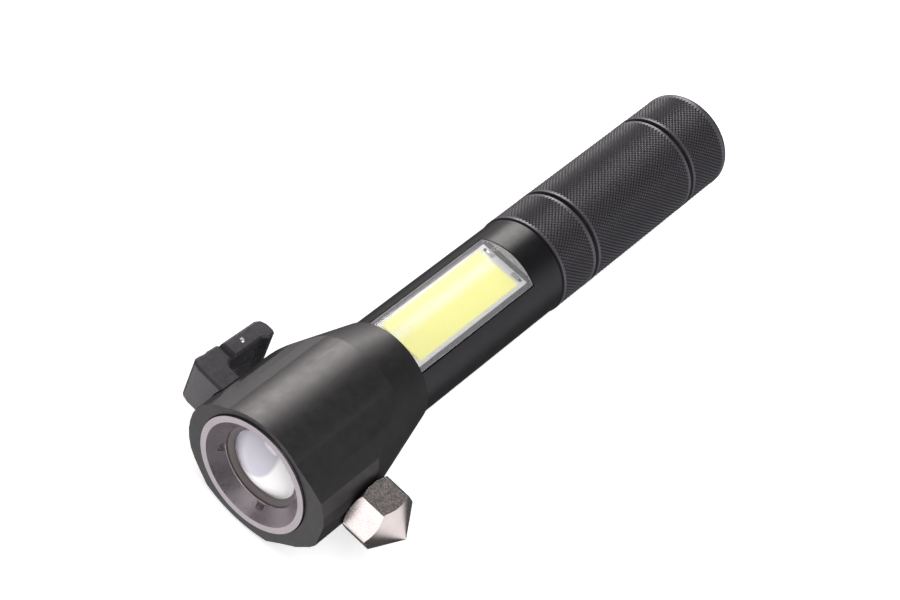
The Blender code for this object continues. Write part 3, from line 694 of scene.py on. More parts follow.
def see_through(name, first, second, patches, gloss, alpha):
    """A finish that lets through what its alpha leaves, with faint patches of two tints."""
    finish, nodes, links, shader, place = new_finish(name)
    mottle(nodes, links, shader, place, patches, first, second)
    uneven_gloss(nodes, links, shader, place, 300.0, gloss)
    shader.inputs["Alpha"].default_value = alpha
    return finish


def clear_plastic():
    """The side light's cover: mostly see-through, with its gloss."""
    return see_through(
        "clear plastic", (0.86, 0.88, 0.92), (0.95, 0.95, 0.98), 90.0, (0.03, 0.09), 0.14)


def cover_painted_glint():
    """The thick sides of the cover, painted pale as a painted glint for the light they gather."""
    return see_through(
        "cover painted glint", (0.42, 0.41, 0.48), (0.75, 0.73, 0.82), 700.0, (0.12, 0.25), 0.8)


def lens_glass(colours):
    """Lens with painted light: milky lavender above, clear white under an arc that is painted light, and
    a faint painted glow.
    """
    centre, arc_start, arc_end = (AXIS_Y - 0.0055, AXIS_Z + 0.0050), 0.0085, 0.0094
    finish, nodes, links, shader, place = new_finish("lens glass with painted light")
    away = distance_from(nodes, links, place, centre)
    # Painted light: the white under this arc is light painted into the colour, not the lens's own tint.
    painted_light_share = spread(nodes, links, away, 0.0, 1.0, arc_start, arc_end)
    tone = blend_colours(nodes, links, painted_light_share, colours.lens, WHITE, 0.0, 1.0)
    links.new(tone, shader.inputs["Base Color"])
    links.new(tone, shader.inputs["Emission Color"])
    # Painted glow: both tones glow faintly, though no light inside the head lights them.
    shader.inputs["Emission Strength"].default_value = 0.10
    shader.inputs["Roughness"].default_value = 0.06
    shader.inputs["Coat Weight"].default_value = 1.0
    shader.inputs["Coat Roughness"].default_value = 0.03
    return finish


# ---------------------------------------------------------------- pieces


def head_outline():
    """Section of the head, (towards the hammer, up): round top, two wings and a flatter sole."""
    over_hammer = [(HAMMER_WING, 0.0040), (0.0213, 0.0069), (0.0192, 0.0108), (0.0150, 0.0131)]
    round_top = arc((0.0, 0.0), ROUND_TOP, 58, 134, HEAD_STEP)
    over_cutter = [(-0.0152, 0.0113), (-0.0174, 0.0094), (-0.0193, 0.0066), (-0.0203, 0.0042),
                   (-CUTTER_WING, 0.0015)]
    under_cutter = [(-CUTTER_WING, -0.0015), (-0.0204, -0.0044), (-0.0195, -0.0073),
                    (-0.0180, -0.0102), (-0.0160, -0.0125), (-0.0136, -0.0147)]
    sole = arc((0.0, SOLE_ROUND - SOLE), SOLE_ROUND, 250, 290, HEAD_STEP)
    under_hammer = [(0.0137, -0.0141), (0.0179, -0.0103), (0.0212, -0.0060), (HAMMER_WING, -0.0040)]
    return over_hammer + round_top + over_cutter + under_cutter + sole + under_hammer


def head_moulding(sizes):
    """The head: its section along the beam, trimmed to a cone at the rear and bored right through."""
    past_end = 0.0010
    body = outlined("head_moulding", head_outline(), HEAD_REAR - HEAD_FRONT)
    stand_across(body, NOSE - (HEAD_FRONT + HEAD_REAR) / 2)
    widest = HAMMER_WING + 0.0030
    cone_start = HEAD_REAR - (widest - REAR_RIM) / CONE_SLOPE
    envelope = turned("head_envelope", [
        (-past_end, widest), (cone_start, widest), (HEAD_REAR, REAR_RIM)])
    cut(body, lay(envelope), "INTERSECT")
    lip, lamp, slide, rear_hole = BEZEL_RADIUS + 0.0002, 0.0156, 0.01515, BARREL_RADIUS + 0.0003
    lip_end, lamp_end, slide_end = 0.0024, 0.01185, 0.0258
    bore = turned("head_bore", [
        (-past_end, lip), (lip_end, lip), (lip_end, lamp), (lamp_end, lamp), (lamp_end, slide),
        (slide_end, slide), (slide_end, rear_hole), (HEAD_REAR + past_end, rear_hole)])
    cut(body, lay(bore))
    soften(body, sizes.edge_round, 3, 11.0)
    return even_shading(body, 50.0)


class FLASHLIGHT_OT_head(bpy.types.Operator):
    """Builds the head's black moulding"""

    bl_idname = "flashlight.head"
    bl_label = "Head moulding"

    def execute(self, context):
        piece = head_moulding(context.scene.flashlight_sizes)
        dress(piece, moulded_black(context.scene.flashlight_colours), "head", "black_satin", "head_shell")
        return {"FINISHED"}


def bezel_trim(sizes):
    """The bright ring round the lens: flat lip, sloping funnel wall, and four spanner notches."""
    skirt, skirt_end, lip_end = 0.0154, 0.0086, 0.0022
    throat, throat_step, funnel_end = 0.0118, 0.0113, 0.0034
    piece = turned("bezel_trim", [
        (0.0, 0.0147), (0.0, BEZEL_RADIUS), (lip_end, BEZEL_RADIUS), (lip_end, skirt),
        (skirt_end, skirt), (skirt_end, throat), (funnel_end + 0.00035, throat),
        (funnel_end + 0.00035, throat_step), (funnel_end, throat_step), (0.0007, 0.0141)], ring=True)
    lay(piece)
    notch_size, notch_place = (0.0013, 0.0022, 0.0022), Vector((-0.0027, 0.0122, 0.0))
    for number in range(4):
        notch = brick("notch", notch_size, notch_place)
        cut(piece, lay(notch, (math.radians(20 + 90 * number), 0.0, 0.0)))
    soften(piece, sizes.metal_round, 3, 28.0)
    return even_shading(piece, 45.0)


def lens_keeper():
    """The dark ring that holds the lens down, chamfered in front."""
    front, rear = span("lens_retainer")
    outer, inner = radius_of("lens_retainer"), LENS_RIM + 0.0003
    piece = turned("lens_keeper", [
        (front, outer), (rear, outer), (rear, inner), (rear - 0.00035, inner),
        (front, outer - 0.0004)], ring=True)
    soften(lay(piece), 0.00008, 2)
    return smooth(piece)


class FLASHLIGHT_OT_bezel(bpy.types.Operator):
    """Builds the bezel ring and the dark ring that holds the lens"""

    bl_idname = "flashlight.bezel"
    bl_label = "Bezel ring"

    def execute(self, context):
        sizes, colours = context.scene.flashlight_sizes, context.scene.flashlight_colours
        dress(bezel_trim(sizes), bezel_metal(colours), "head", "bezel_grey", "bezel_ring")
        brown = plain("keeper brown", (0.13, 0.11, 0.11), (0.35, 0.5))
        dress(lens_keeper(), brown, "head", "dark_ring", "lens_retainer")
        return {"FINISHED"}


def lens_dome(sizes):
    """The lens: a cap of a sphere over a rim, a flange that the keeper holds, and a flat back."""
    front, rear = span("lens")
    rise, rim, flange = sizes.lens_rise, LENS_RIM, radius_of("lens")
    shoulder, pole = 0.0053, 1
    ball = (rim ** 2 + rise ** 2) / (2 * rise)
    sweep = math.degrees(math.asin(rim / ball))
    dome = arc((front + ball, 0.0), ball, 180 - pole, 180 - sweep, 1.2)
    piece = turned("lens_dome", dome + [(shoulder, rim), (shoulder, flange), (rear, flange)], 120)
    return smooth(lay(piece), 40.0)


class FLASHLIGHT_OT_lens(bpy.types.Operator):
    """Builds the domed lens"""

    bl_idname = "flashlight.lens"
    bl_label = "Lens"

    def execute(self, context):
        sizes, colours = context.scene.flashlight_sizes, context.scene.flashlight_colours
        dress(lens_dome(sizes), lens_glass(colours), "head", "clear", "lens")
        return {"FINISHED"}


def hammer_point(sizes):
    """A hexagonal bar, chamfered along its edges, turned to a point and rounded off at its seat."""
    seat = HAMMER_WING + 0.0002
    past_end = 0.004
    deselect()
    bpy.ops.mesh.primitive_cylinder_add(
        vertices=6, radius=HEX_RADIUS, depth=HAMMER_TIP - seat + past_end,
        location=(0.0, 0.0, (HAMMER_TIP + seat) / 2))
    piece = named("hammer_point")
    piece.rotation_euler.z = math.radians(30)
    apply_place(piece)
    soften(piece, sizes.hex_chamfer, 1, 30.0)
    slope = HEX_RADIUS / (HAMMER_TIP - HAMMER_SHOULDER)
    skirt, foot, point = 0.0110, 0.0078, 0.00018
    envelope = turned("hammer_envelope", [
        (seat, foot), (seat + (skirt - foot) * 0.8, skirt), (HAMMER_TIP - skirt / slope, skirt),
        (HAMMER_TIP - point / slope, point)], 120)
    cut(piece, envelope, "INTERSECT")
    bevel = 0.0005
    stud = turned("hammer_stud", [
        (STUD_START, STUD_RADIUS - bevel), (STUD_START + bevel, STUD_RADIUS),
        (seat + 0.001, STUD_RADIUS)], SMALL_SIDES)
    cut(piece, stud, "UNION")
    soften(piece, 0.00010, 2, 20.0)
    lay(piece, TO_HAMMER, Vector((NOSE - HAMMER_STATION, AXIS_Y, AXIS_Z)))
    return even_shading(piece, 22.0)


class FLASHLIGHT_OT_hammer(bpy.types.Operator):
    """Builds the plated hammer bit"""

    bl_idname = "flashlight.hammer"
    bl_label = "Hammer bit"

    def execute(self, context):
        piece = hammer_point(context.scene.flashlight_sizes)
        dress(piece, nickel_plate(context.scene.flashlight_colours), "head", "nickel", "hammer_bit")
        return {"FINISHED"}


def hook_outline():
    """Side of the hook, (station, distance out from the axis): block, arm and rounded throat."""
    front, rear = span("cutter_frame")
    inside_head, tip_inner, bend = 0.0178, 0.0228, 0.0017
    throat = BLOCK_REAR - 0.0004
    block_side = [
        (front, inside_head), (front + 0.0002, 0.0268), (front + 0.0008, CUTTER_REACH - 0.0006),
        (front + 0.0020, CUTTER_REACH), (throat, CUTTER_REACH - 0.0004)]
    arm = [
        (BLOCK_REAR + 0.0008, ARM_OUTER + 0.0003), (rear - 0.0020, ARM_OUTER),
        (rear - 0.0006, ARM_OUTER - 0.0008), (rear, ARM_OUTER - 0.0024), (rear, tip_inner + 0.0008),
        (rear - 0.0008, tip_inner), (rear - 0.0026, tip_inner), (rear - 0.0040, ARM_INNER)]
    turn = [(throat - x, y) for x, y in arc((0.0, ARM_INNER - bend), bend, 90, 0, 15)]
    return block_side + arm + turn + [(throat - bend, inside_head)]


def cutter_hook(sizes):
    """The belt hook: a chamfered block and arm with a valley between them on both faces.

    It is seated on the head, slit for the blade and drilled for two bolts."""
    piece = stand_side_on(outlined("cutter_hook", hook_outline(), 2 * CUTTER_HALF))
    soften(piece, sizes.hook_chamfer, 1, 40.0)
    valley_side, valley_length, valley_lift = 0.0030, 0.0200, 0.0010
    for face in (-1, 1):
        valley = brick("hook_valley", (valley_side, valley_length, valley_side), Vector())
        height = AXIS_Z + face * (CUTTER_HALF + valley_lift)
        place = Vector((NOSE - VALLEY_STATION, AXIS_Y - CUTTER_REACH, height))
        cut(piece, lay(valley, (0.0, math.radians(45), 0.0), place))
    clear_of_head = 1.012
    section = [(x * clear_of_head, y * clear_of_head) for x, y in head_outline()]
    cut(piece, stand_across(outlined("hook_seat", section, 2 * HEAD_REAR), NOSE))
    slit_size, slit_out = (0.0140, 0.0068, 0.0010), 0.0244
    slit_place = Vector((NOSE - BLADE_STATION, AXIS_Y - slit_out, AXIS_Z))
    cut(piece, brick("blade_slit", slit_size, slit_place))
    hole, sunk = 0.00145, 0.0027
    for node in ("cutter_screw_1", "cutter_screw_2"):
        drill = turned("bolt_hole", [
            (0.0190, hole), (0.0275, hole), (0.0288, sunk), (0.0310, sunk)], SMALL_SIDES)
        cut(piece, lay(drill, TO_CUTTER, bolt_axis(node)))
    soften(piece, 0.00016, 2, 24.0)
    return even_shading(piece, 35.0)


def bolt_axis(node):
    """Where a cutter bolt's axis meets the flashlight's."""
    low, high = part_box(node)
    return Vector(((low.x + high.x) / 2, AXIS_Y, (low.z + high.z) / 2))


def cutter_bolt(node, number):
    """A countersunk bolt with a hexagonal socket."""
    shank, head, rim, socket, socket_depth = 0.00125, 0.0024, 0.0004, 0.00085, 0.0024
    top = AXIS_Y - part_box(node)[0].y
    piece = turned(f"cutter_bolt_{number}", [
        (0.0160, shank), (0.0276, shank), (top - rim, head), (top, head)], SMALL_SIDES)
    deselect()
    bpy.ops.mesh.primitive_cylinder_add(
        vertices=6, radius=socket, depth=socket_depth, location=(0.0, 0.0, top))
    cut(piece, named("socket"))
    soften(piece, 0.00008, 2, 30.0)
    return smooth(lay(piece, TO_CUTTER, bolt_axis(node)))


def cutter_edge():
    """The blade, slanted across the slot's throat, with a ground edge."""
    front, rear, back, thickness, grind = 0.0118, 0.0238, 0.0272, 0.0006, 0.00024
    piece = outlined("cutter_edge", [
        (front, 0.0213), (rear, 0.0250), (rear, back), (front, back)], thickness)
    make_active(piece)
    bpy.ops.object.mode_set(mode="EDIT")
    bpy.ops.mesh.select_all(action="DESELECT")
    mesh = bmesh.from_edit_mesh(piece.data)
    for edge in mesh.edges:
        one, other = (point.co for point in edge.verts)
        along_face = abs(one.z - other.z) < 0.0001
        edge.select_set(along_face and (one.y + other.y) / 2 < 0.0240)
    bmesh.update_edit_mesh(piece.data)
    bpy.ops.mesh.bevel(offset=grind, segments=1)
    bpy.ops.object.mode_set(mode="OBJECT")
    return smooth(stand_side_on(tidy_mesh(piece)), 10.0)


def cutter_pin():
    """The pin that holds the blade, chamfered at both ends."""
    radius, chamfer = 0.0007, 0.0001
    low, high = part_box("blade_pin")
    bottom, top = low.z - AXIS_Z, high.z - AXIS_Z
    piece = turned("cutter_pin", [
        (bottom, radius - chamfer), (bottom + chamfer, radius), (top - 2 * chamfer, radius),
        (top, radius - 3 * chamfer)], SMALL_SIDES)
    return smooth(lay(piece, UPRIGHT, Vector(((low.x + high.x) / 2, (low.y + high.y) / 2, AXIS_Z))))


class FLASHLIGHT_OT_cutter(bpy.types.Operator):
    """Builds the belt hook with its blade, pin and two bolts"""

    bl_idname = "flashlight.cutter"
    bl_label = "Belt cutter"

    def execute(self, context):
        sizes, colours = context.scene.flashlight_sizes, context.scene.flashlight_colours
        steel = bright_steel(colours)
        dress(cutter_hook(sizes), hook_black(colours), "head", "black_satin", "cutter_frame")
        dress(cutter_edge(), steel, "head", "steel", "cutter_blade")
        dress(cutter_pin(), steel, "head", "steel", "blade_pin")
        for number, node in enumerate(("cutter_screw_1", "cutter_screw_2"), 1):
            dress(cutter_bolt(node, number), steel, "head", "steel", node)
        return {"FINISHED"}


def barrel_tube(sizes):
    """The smooth front tube, with its grooves under the head and the side light's opening."""
    front, rear = span("front_barrel")
    full, collar, collar_end = BARREL_RADIUS, 0.0119, 0.0360
    stop_front, stop_rear, stop_floor = 0.0162, 0.0174, 0.0132
    seal_front, seal_rear, seal_floor = 0.0296, 0.0314, 0.0128
    piece = turned("barrel_tube", [
        (front, full), (stop_front, full), (stop_front, stop_floor), (stop_rear, stop_floor),
        (stop_rear, full), (seal_front, full), (seal_front, seal_floor), (seal_rear, seal_floor),
        (seal_rear, full), (rear, full), (rear, BARREL_INSIDE), (collar_end, BARREL_INSIDE),
        (collar_end, collar), (front, collar)], ring=True)
    lay(piece)
    low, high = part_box("cob_window")
    middle = (low + high) / 2
    gap, opening_depth, opening_height = 0.00025, 0.0200, 0.0120
    opening = brick(
        "window_opening", (high.x - low.x + 2 * gap, high.y - low.y + 2 * gap, opening_depth),
        Vector((middle.x, middle.y, AXIS_Z + opening_height)))
    cut(piece, opening)
    soften(piece, sizes.metal_round, 2, 35.0)
    return even_shading(piece, 30.0)


class FLASHLIGHT_OT_barrel(bpy.types.Operator):
    """Builds the smooth front tube"""

    bl_idname = "flashlight.barrel"
    bl_label = "Front tube"

    def execute(self, context):
        sizes, colours = context.scene.flashlight_sizes, context.scene.flashlight_colours
        finish = anodised_black(colours)
        dress(barrel_tube(sizes), finish, "barrel", "black_anodised", "front_barrel")
        return {"FINISHED"}


def window_cover():
    """The side light's clear cover: a bar whose top follows the tube, hollow for the board."""
    low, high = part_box("cob_window")
    half = (high.y - low.y) / 2
    reach = math.degrees(math.asin(half / BARREL_RADIUS))
    floor, step, roof = low.z - AXIS_Z, 0.0111, 0.0117
    wide, narrow = 0.0079, 0.0070
    outline = arc((0.0, 0.0), BARREL_RADIUS, 90 - reach, 90 + reach, 2.5)
    outline += [
        (-half, floor), (-wide, floor), (-wide, step), (-narrow, step), (-narrow, roof),
        (narrow, roof), (narrow, step), (wide, step), (wide, floor), (half, floor)]
    piece = outlined("window_cover", outline, high.x - low.x)
    stand_across(piece, (low.x + high.x) / 2)
    soften(piece, 0.00012, 2, 40.0)
    return smooth(piece, 30.0)


def paint_cover_glint(cover):
    """Gives the cover's outer sides and ends a painted pale glint, for a thick edge that gathers light.
    """
    cover.data.materials.append(cover_painted_glint())
    for face in cover.data.polygons:
        outward = abs(face.center.y - AXIS_Y) > 0.0085 or abs(face.normal.x) > 0.7
        face.material_index = 1 if outward and face.normal.z < 0.6 else 0


def light_board():
    """The side light's white board."""
    piece = block_like("light_board", "cob_board")
    soften(piece, 0.00012, 2, 30.0)
    return smooth(piece)


def light_phosphor():
    """The phosphor strip: a pillow of gel over the chips."""
    piece = block_like("light_phosphor", "cob_phosphor")
    soften(piece, 0.00018, 4, 30.0)
    return smooth(piece, 60.0)


def light_tray():
    """The dark tray under the board."""
    return smooth(soften(block_like("light_tray", "cob_tray"), 0.0002, 2))


def terminal(name, side, size, lift):
    """A small block on the board's rear end, its middle that far aside and above the board."""
    along = 0.0012
    low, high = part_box("cob_board")
    piece = brick(name, size, Vector((low.x + along, AXIS_Y + side, high.z + lift)))
    soften(piece, 0.00006, 2, 30.0)
    return smooth(piece)


class FLASHLIGHT_OT_side_light(bpy.types.Operator):
    """Builds the side light: cover, board, phosphor strip, terminals and tray"""

    bl_idname = "flashlight.side_light"
    bl_label = "Side light"

    def execute(self, context):
        colours = context.scene.flashlight_colours
        cover = dress(window_cover(), clear_plastic(), "barrel", "clear", "cob_window")
        # Painted glint on the cover's sides and ends.
        paint_cover_glint(cover)
        board = plain("board white", colours.board, (0.4, 0.5))
        dress(light_board(), board, "barrel", "white", "cob_board")
        dress(light_phosphor(), phosphor_gel(colours), "barrel", "phosphor", "cob_phosphor")
        grey = plain("tray grey", (0.05, 0.05, 0.055), (0.3, 0.4))
        dress(light_tray(), grey, "barrel", "black_satin", "cob_tray")
        solder = plain("solder", (0.62, 0.60, 0.58), (0.25, 0.4), metallic=0.9)
        dark = plain("terminal dark", (0.03, 0.025, 0.025), (0.35, 0.5))
        for number, side in enumerate((-0.0045, 0.0045), 1):
            pad = terminal(f"light_pad_{number}", side, (0.0014, 0.0026, 0.0001), 0.00006)
            dress(pad, solder, "barrel", "white")
            stop = terminal(f"light_stop_{number}", side * 1.35, (0.0009, 0.0009, 0.0001), 0.00015)
            dress(stop, dark, "barrel", "black_satin")
        return {"FINISHED"}


def knurl(piece, front, rear, sizes):
    """Cuts a diamond knurl into the outer wall between two distances along the piece's own Z.

    The wall is divided into rows of half a diamond, every other point is pushed in, and each
    quad is split along the groove that crosses it."""
    rows = 2 * round((rear - front) / sizes.knurl_pitch)
    step = (rear - front) / rows
    sides = 2 * sizes.knurl_columns
    surface, near = GRIP_RADIUS - 0.0001, 0.00001
    make_active(piece)
    bpy.ops.object.mode_set(mode="EDIT")
    bpy.ops.mesh.select_mode(type="EDGE")
    bpy.ops.mesh.select_all(action="DESELECT")
    mesh = bmesh.from_edit_mesh(piece.data)
    for edge in mesh.edges:
        first, last = sorted(point.co.z for point in edge.verts)
        outer = min(point.co.xy.length for point in edge.verts) > surface
        edge.select_set(outer and abs(first - front) < near and abs(last - rear) < near)
    bmesh.update_edit_mesh(piece.data)
    bpy.ops.mesh.subdivide(number_cuts=rows - 1)
    bpy.ops.mesh.select_mode(type="VERT")
    bpy.ops.mesh.select_all(action="DESELECT")
    mesh = bmesh.from_edit_mesh(piece.data)
    for point in mesh.verts:
        row = (point.co.z - front) / step
        column = round(math.atan2(point.co.y, point.co.x) / math.tau * sides)
        inside = 0.5 < row < rows - 0.5 and point.co.xy.length > surface
        point.select_set(inside and (round(row) + column) % 2 == 0)
    bmesh.update_edit_mesh(piece.data)
    shrink = 1.0 - sizes.knurl_depth / GRIP_RADIUS
    bpy.ops.transform.resize(value=(shrink, shrink, 1.0), center_override=(0.0, 0.0, 0.0))
    bpy.ops.mesh.select_mode(type="FACE")
    bpy.ops.mesh.select_all(action="DESELECT")
    mesh = bmesh.from_edit_mesh(piece.data)
    for face in mesh.faces:
        middle = face.calc_center_median()
        wall = middle.xy.length > GRIP_RADIUS - 0.0006 and abs(face.normal.z) < 0.7
        face.select_set(wall and front < middle.z < rear and len(face.verts) == 4)
    bmesh.update_edit_mesh(piece.data)
    bpy.ops.mesh.quads_convert_to_tris(quad_method="SHORTEST_DIAGONAL")
    bpy.ops.mesh.select_mode(type="VERT")
    bpy.ops.object.mode_set(mode="OBJECT")
    return piece


def thread(start, end, outer, pitch):
    """Points of a thread's ridges, as (distance, radius) pairs."""
    root, crest_start, crest_end = outer - 0.0004, 0.35, 0.6
    points = []
    for number in range(int((end - start) / pitch)):
        foot = start + number * pitch
        points += [(foot, root), (foot + pitch * crest_start, outer), (foot + pitch * crest_end, outer)]
    return points + [(end, root)]


def grip_tube(sizes):
    """The knurled battery tube: plain bands beside a V groove, and the tail cap's thread."""
    front, rear = span("battery_tube")
    full, spigot, seal_groove, rim = GRIP_RADIUS, 0.0121, 0.0113, 0.0004
    neck, screw, tail_groove = 0.0127, 0.0127, 0.0119
    seal_front, seal_rear, grip, end = 0.1006, 0.1022, 0.1050, CAP_FRONT - 0.0002
    groove_front, groove_rear = GROOVE_STATION - GROOVE_HALF, GROOVE_STATION + GROOVE_HALF
    first = (grip + rim + BAND, groove_front - BAND)
    second = (groove_rear + BAND, end - WALL_CHAMFER - BAND)
    joint = [
        (front, spigot), (seal_front, spigot), (seal_front, seal_groove), (seal_rear, seal_groove),
        (seal_rear, spigot), (grip, spigot)]
    wall = [
        (grip, full - rim), (grip + rim, full), (first[0], full), (first[1], full),
        (groove_front, full), (GROOVE_STATION, full - GROOVE_DEPTH), (groove_rear, full),
        (second[0], full), (second[1], full), (end - WALL_CHAMFER, full), (end, full - WALL_CHAMFER)]
    tail = [
        (end, neck), (CAP_FRONT + 0.0003, neck), (CAP_FRONT + 0.0003, tail_groove),
        (CAP_FRONT + 0.0019, tail_groove)]
    ridges = thread(CAP_FRONT + 0.0020, rear - 0.0003, screw, sizes.thread_pitch)
    inner = [(rear, 0.0120), (rear, TUBE_BORE), (front, TUBE_BORE)]
    profile = joint + wall + tail + ridges + inner
    piece = turned("grip_tube", profile, 2 * sizes.knurl_columns, ring=True)
    knurl(piece, *first, sizes)
    knurl(piece, *second, sizes)
    return smooth(lay(piece), 20.0)


class FLASHLIGHT_OT_grip(bpy.types.Operator):
    """Builds the knurled battery tube"""

    bl_idname = "flashlight.grip"
    bl_label = "Battery tube"

    def execute(self, context):
        sizes = context.scene.flashlight_sizes
        finish = knurled_black(context.scene.flashlight_colours, sizes)
        dress(grip_tube(sizes), finish, "barrel", "black_anodised", "battery_tube")
        return {"FINISHED"}


def cap_tube(sizes):
    """The knurled tail cap, rounded at its rear edge, with the switch's opening."""
    full, edge, hole, hole_round, lip = GRIP_RADIUS, 0.0020, 0.0063, 0.0004, 0.0017
    room, inner, room_front = 0.0109, 0.0130, 0.1701
    first = (CAP_FRONT + WALL_CHAMFER + BAND, CAP_REAR - edge - BAND)
    corner = [(CAP_REAR - edge + out, full - edge + up)
              for up, out in arc((0.0, 0.0), edge, 0, 90, 10)]
    piece = turned("cap_tube", [
        (CAP_FRONT, full - WALL_CHAMFER), (CAP_FRONT + WALL_CHAMFER, full), (first[0], full),
        (first[1], full), *corner, (CAP_REAR, hole + hole_round), (CAP_REAR - hole_round, hole),
        (CAP_REAR - lip, hole), (CAP_REAR - lip, room), (room_front, room), (room_front, inner),
        (CAP_FRONT, inner)], 2 * sizes.knurl_columns, ring=True)
    knurl(piece, *first, sizes)
    return smooth(lay(piece), 20.0)


class FLASHLIGHT_OT_cap(bpy.types.Operator):
    """Builds the knurled tail cap"""

    bl_idname = "flashlight.cap"
    bl_label = "Tail cap"

    def execute(self, context):
        sizes = context.scene.flashlight_sizes
        finish = knurled_black(context.scene.flashlight_colours, sizes)
        dress(cap_tube(sizes), finish, "tail", "black_anodised", "tail_cap")
        return {"FINISHED"}


def boot_cover():
    """The rubber boot: a flange inside the cap and a low dome with three ring-shaped ribs."""
    front, rear = span("switch_boot")
    flange = radius_of("switch_boot")
    outermost, pitch, depth = 0.0032, 0.0010, 0.0002
    ribs = []
    for number in range(3):
        radius = outermost - pitch * number
        ribs += [(rear, radius), (rear - depth, radius - depth),
                 (rear - depth, radius - 2 * depth), (rear, radius - 3 * depth)]
    piece = turned("boot_cover", [
        (rear - 0.0011, 0.0002), (rear - 0.0011, 0.0038), (rear - 0.0015, 0.0048), (front, 0.0051),
        (front, flange), (rear - 0.0015, flange), (rear - 0.0015, 0.0060), (rear - 0.0009, 0.0058),
        (rear - 0.0002, 0.0048), (rear, 0.0036), *ribs], 96)
    soften(piece, 0.0001, 2, 30.0)
    return smooth(lay(piece))


class FLASHLIGHT_OT_boot(bpy.types.Operator):
    """Builds the rubber boot over the switch, with a mesh of its own"""

    bl_idname = "flashlight.boot"
    bl_label = "Switch boot"

    def execute(self, context):
        boot = dress(boot_cover(), rubber(), "tail", "rubber", "switch_boot")
        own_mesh(boot)
        return {"FINISHED"}


class FLASHLIGHT_OT_seals(bpy.types.Operator):
    """Builds the rubber rings that seal the lens, the head and the tube"""

    bl_idname = "flashlight.seals"
    bl_label = "Seals"

    def execute(self, context):
        finish = rubber()
        bodies = {"lens_seal": "head", "focus_oring": "barrel", "body_oring": "barrel",
                  "tail_oring": "barrel"}
        for node, body in bodies.items():
            first, last = span(node)
            cord = (last - first) / 2
            piece = ring_of(node + "_cord", (first + last) / 2, radius_of(node) - cord, cord)
            dress(piece, finish, body, "rubber", node)
        return {"FINISHED"}


class FLASHLIGHT_OT_inner_parts(bpy.types.Operator):
    """Gives the hidden solids their finishes"""

    bl_idname = "flashlight.inner_parts"
    bl_label = "Inner parts"

    def execute(self, context):
        colours = context.scene.flashlight_colours
        moulding, steel, green, black = (
            moulded_black(colours), bright_steel(colours), circuit_green(), rubber())
        white = plain("lamp white", colours.board, (0.35, 0.5))
        brass = turned_metal("bare brass", (0.74, 0.56, 0.24), (0.22, 0.36))
        red = plain("red wire", (0.55, 0.03, 0.02), (0.35, 0.5))
        finishes = {
            "lens_seat": moulding, "switch_body": moulding,
            "stop_ring": steel, "battery_cap": steel, "tail_spring": steel,
            "front_contact": brass, "switch_retainer": brass,
            "led_pill": turned_metal("turned aluminium", (0.66, 0.67, 0.69), (0.25, 0.4)),
            "led_board": white, "led_holder": white, "switch_spacer": white, "switch_plunger": white,
            "led_emitter": phosphor_gel(colours),
            "driver_board": green, "switch_board": green,
            "led_wire_red": red, "cob_wire_red": red, "led_wire_black": black, "cob_wire_black": black,
            "battery_cell": plain("cell wrap", colours.cell, (0.25, 0.4)),
        }
        for node, finish in finishes.items():
            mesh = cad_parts[node].data
            mesh.materials.clear()
            mesh.materials.append(finish)
        return {"FINISHED"}


# ---------------------------------------------------------------- stage


def add_camera():
    """The camera, in front of the flashlight, above it and on the hammer's side."""
    deselect()
    bpy.ops.object.camera_add()
    camera = bpy.context.object
    camera.name = "camera"
    back = CAMERA_RIGHT.cross(CAMERA_UP)
    turn = Matrix((CAMERA_RIGHT, CAMERA_UP, back)).transposed().to_4x4()
    camera.matrix_world = Matrix.Translation(FACE + CAMERA_OFFSET) @ turn
    camera.data.lens = CAMERA_LENS
    camera.data.clip_start = 0.01
    bpy.context.scene.camera = camera


def add_softbox(name, direction, distance, size, power, colour):
    """A rectangular softbox that shines at the flashlight from a direction."""
    middle = (CAD_BOX[0] + CAD_BOX[1]) / 2
    deselect()
    bpy.ops.object.light_add(type="AREA")
    light = bpy.context.object
    light.name = name
    light.data.shape = "RECTANGLE"
    light.data.size, light.data.size_y = size
    light.data.energy = power
    light.data.color = colour
    towards = Vector(direction).normalized()
    light.location = middle + towards * distance
    light.rotation_euler = towards.to_track_quat("Z", "Y").to_euler()


def glow(nodes, links, place, towards, start, end, strength):
    """A soft patch of light in the studio's surroundings, centred on a direction."""
    facing = nodes.new("ShaderNodeVectorMath")
    facing.operation = "DOT_PRODUCT"
    facing.inputs[1].default_value = Vector(towards).normalized()
    links.new(place, facing.inputs[0])
    reach = nodes.new("ShaderNodeMapRange")
    reach.interpolation_type = "SMOOTHSTEP"
    reach.inputs["From Min"].default_value = start
    reach.inputs["From Max"].default_value = end
    reach.inputs["To Max"].default_value = strength
    links.new(facing.outputs["Value"], reach.inputs["Value"])
    return reach.outputs["Result"]


def studio_world():
    """Dim surroundings with the soft patches of light."""
    world = bpy.data.worlds.new("studio")
    world.use_nodes = True
    nodes, links = world.node_tree.nodes, world.node_tree.links
    place = nodes.new("ShaderNodeTexCoord").outputs["Generated"]
    total = STUDIO_DIM
    for patch in STUDIO_GLOWS:
        total = sum_of(nodes, links, "ADD", glow(nodes, links, place, *patch), total)
    background = nodes["Background"]
    background.inputs["Color"].default_value = (1.0, 0.97, 0.98, 1.0)
    links.new(total, background.inputs["Strength"])
    return world


def floor_paint():
    """White paint that glows faintly, so that the floor stays pale under soft light."""
    paint = plain("floor paint", (0.88, 0.88, 0.88), (0.85, 0.95))
    shader = paint.node_tree.nodes["Principled BSDF"]
    shader.inputs["Emission Color"].default_value = (*WHITE, 1.0)
    shader.inputs["Emission Strength"].default_value = 0.62
    shader.inputs["Specular IOR Level"].default_value = 0.0
    return paint


def studio_floor():
    """The floor, just under the flashlight. Gloss doesn't show it, so that black pieces stay dark."""
    deselect()
    bpy.ops.mesh.primitive_plane_add(size=6.0, location=(0.0, 0.0, -0.0005))
    floor = named("studio_floor")
    floor.data.materials.append(floor_paint())
    floor.visible_glossy = False
    return floor


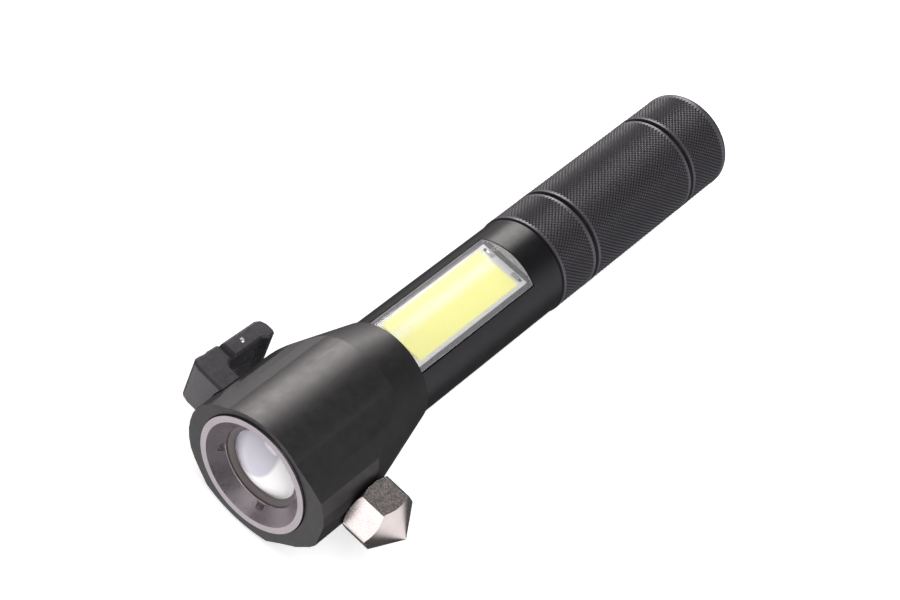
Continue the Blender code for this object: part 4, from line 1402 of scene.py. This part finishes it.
class FLASHLIGHT_OT_stage(bpy.types.Operator):
    """Adds the pale floor, the surroundings, the softboxes and the camera"""

    bl_idname = "flashlight.stage"
    bl_label = "Stage"

    def execute(self, context):
        studio_floor()
        context.scene.world = studio_world()
        context.scene.view_settings.view_transform = "Standard"
        for softbox in SOFTBOXES:
            add_softbox(*softbox)
        add_camera()
        return {"FINISHED"}


class FLASHLIGHT_PT_sidebar(bpy.types.Panel):
    """Sizes, colours and steps of the flashlight"""

    bl_idname = "FLASHLIGHT_PT_sidebar"
    bl_label = "Emergency Flashlight"
    bl_space_type = "VIEW_3D"
    bl_region_type = "UI"
    bl_category = "Flashlight"

    def draw(self, context):
        for group in (context.scene.flashlight_sizes, context.scene.flashlight_colours):
            box = self.layout.box()
            for key in group.__annotations__:
                box.prop(group, key)
        for step in STEPS:
            self.layout.operator(step.bl_idname)


STEPS = (
    FLASHLIGHT_OT_head,
    FLASHLIGHT_OT_bezel,
    FLASHLIGHT_OT_lens,
    FLASHLIGHT_OT_hammer,
    FLASHLIGHT_OT_cutter,
    FLASHLIGHT_OT_barrel,
    FLASHLIGHT_OT_side_light,
    FLASHLIGHT_OT_grip,
    FLASHLIGHT_OT_cap,
    FLASHLIGHT_OT_boot,
    FLASHLIGHT_OT_seals,
    FLASHLIGHT_OT_inner_parts,
    FLASHLIGHT_OT_stage,
)
CLASSES = (FlashlightSizes, FlashlightColours, *STEPS, FLASHLIGHT_PT_sidebar)


def register():
    """Makes the sizes, the colours, the steps and the panel known to Blender."""
    for kind in CLASSES:
        bpy.utils.register_class(kind)
    bpy.types.Scene.flashlight_sizes = PointerProperty(type=FlashlightSizes)
    bpy.types.Scene.flashlight_colours = PointerProperty(type=FlashlightColours)


def unregister():
    """Undoes register."""
    del bpy.types.Scene.flashlight_colours
    del bpy.types.Scene.flashlight_sizes
    for kind in reversed(CLASSES):
        bpy.utils.unregister_class(kind)


def main():
    """Builds every piece and the stage."""
    register()
    for step in STEPS:
        group, operation = step.bl_idname.split(".")
        getattr(getattr(bpy.ops, group), operation)()


if __name__ == "__main__":
    main()
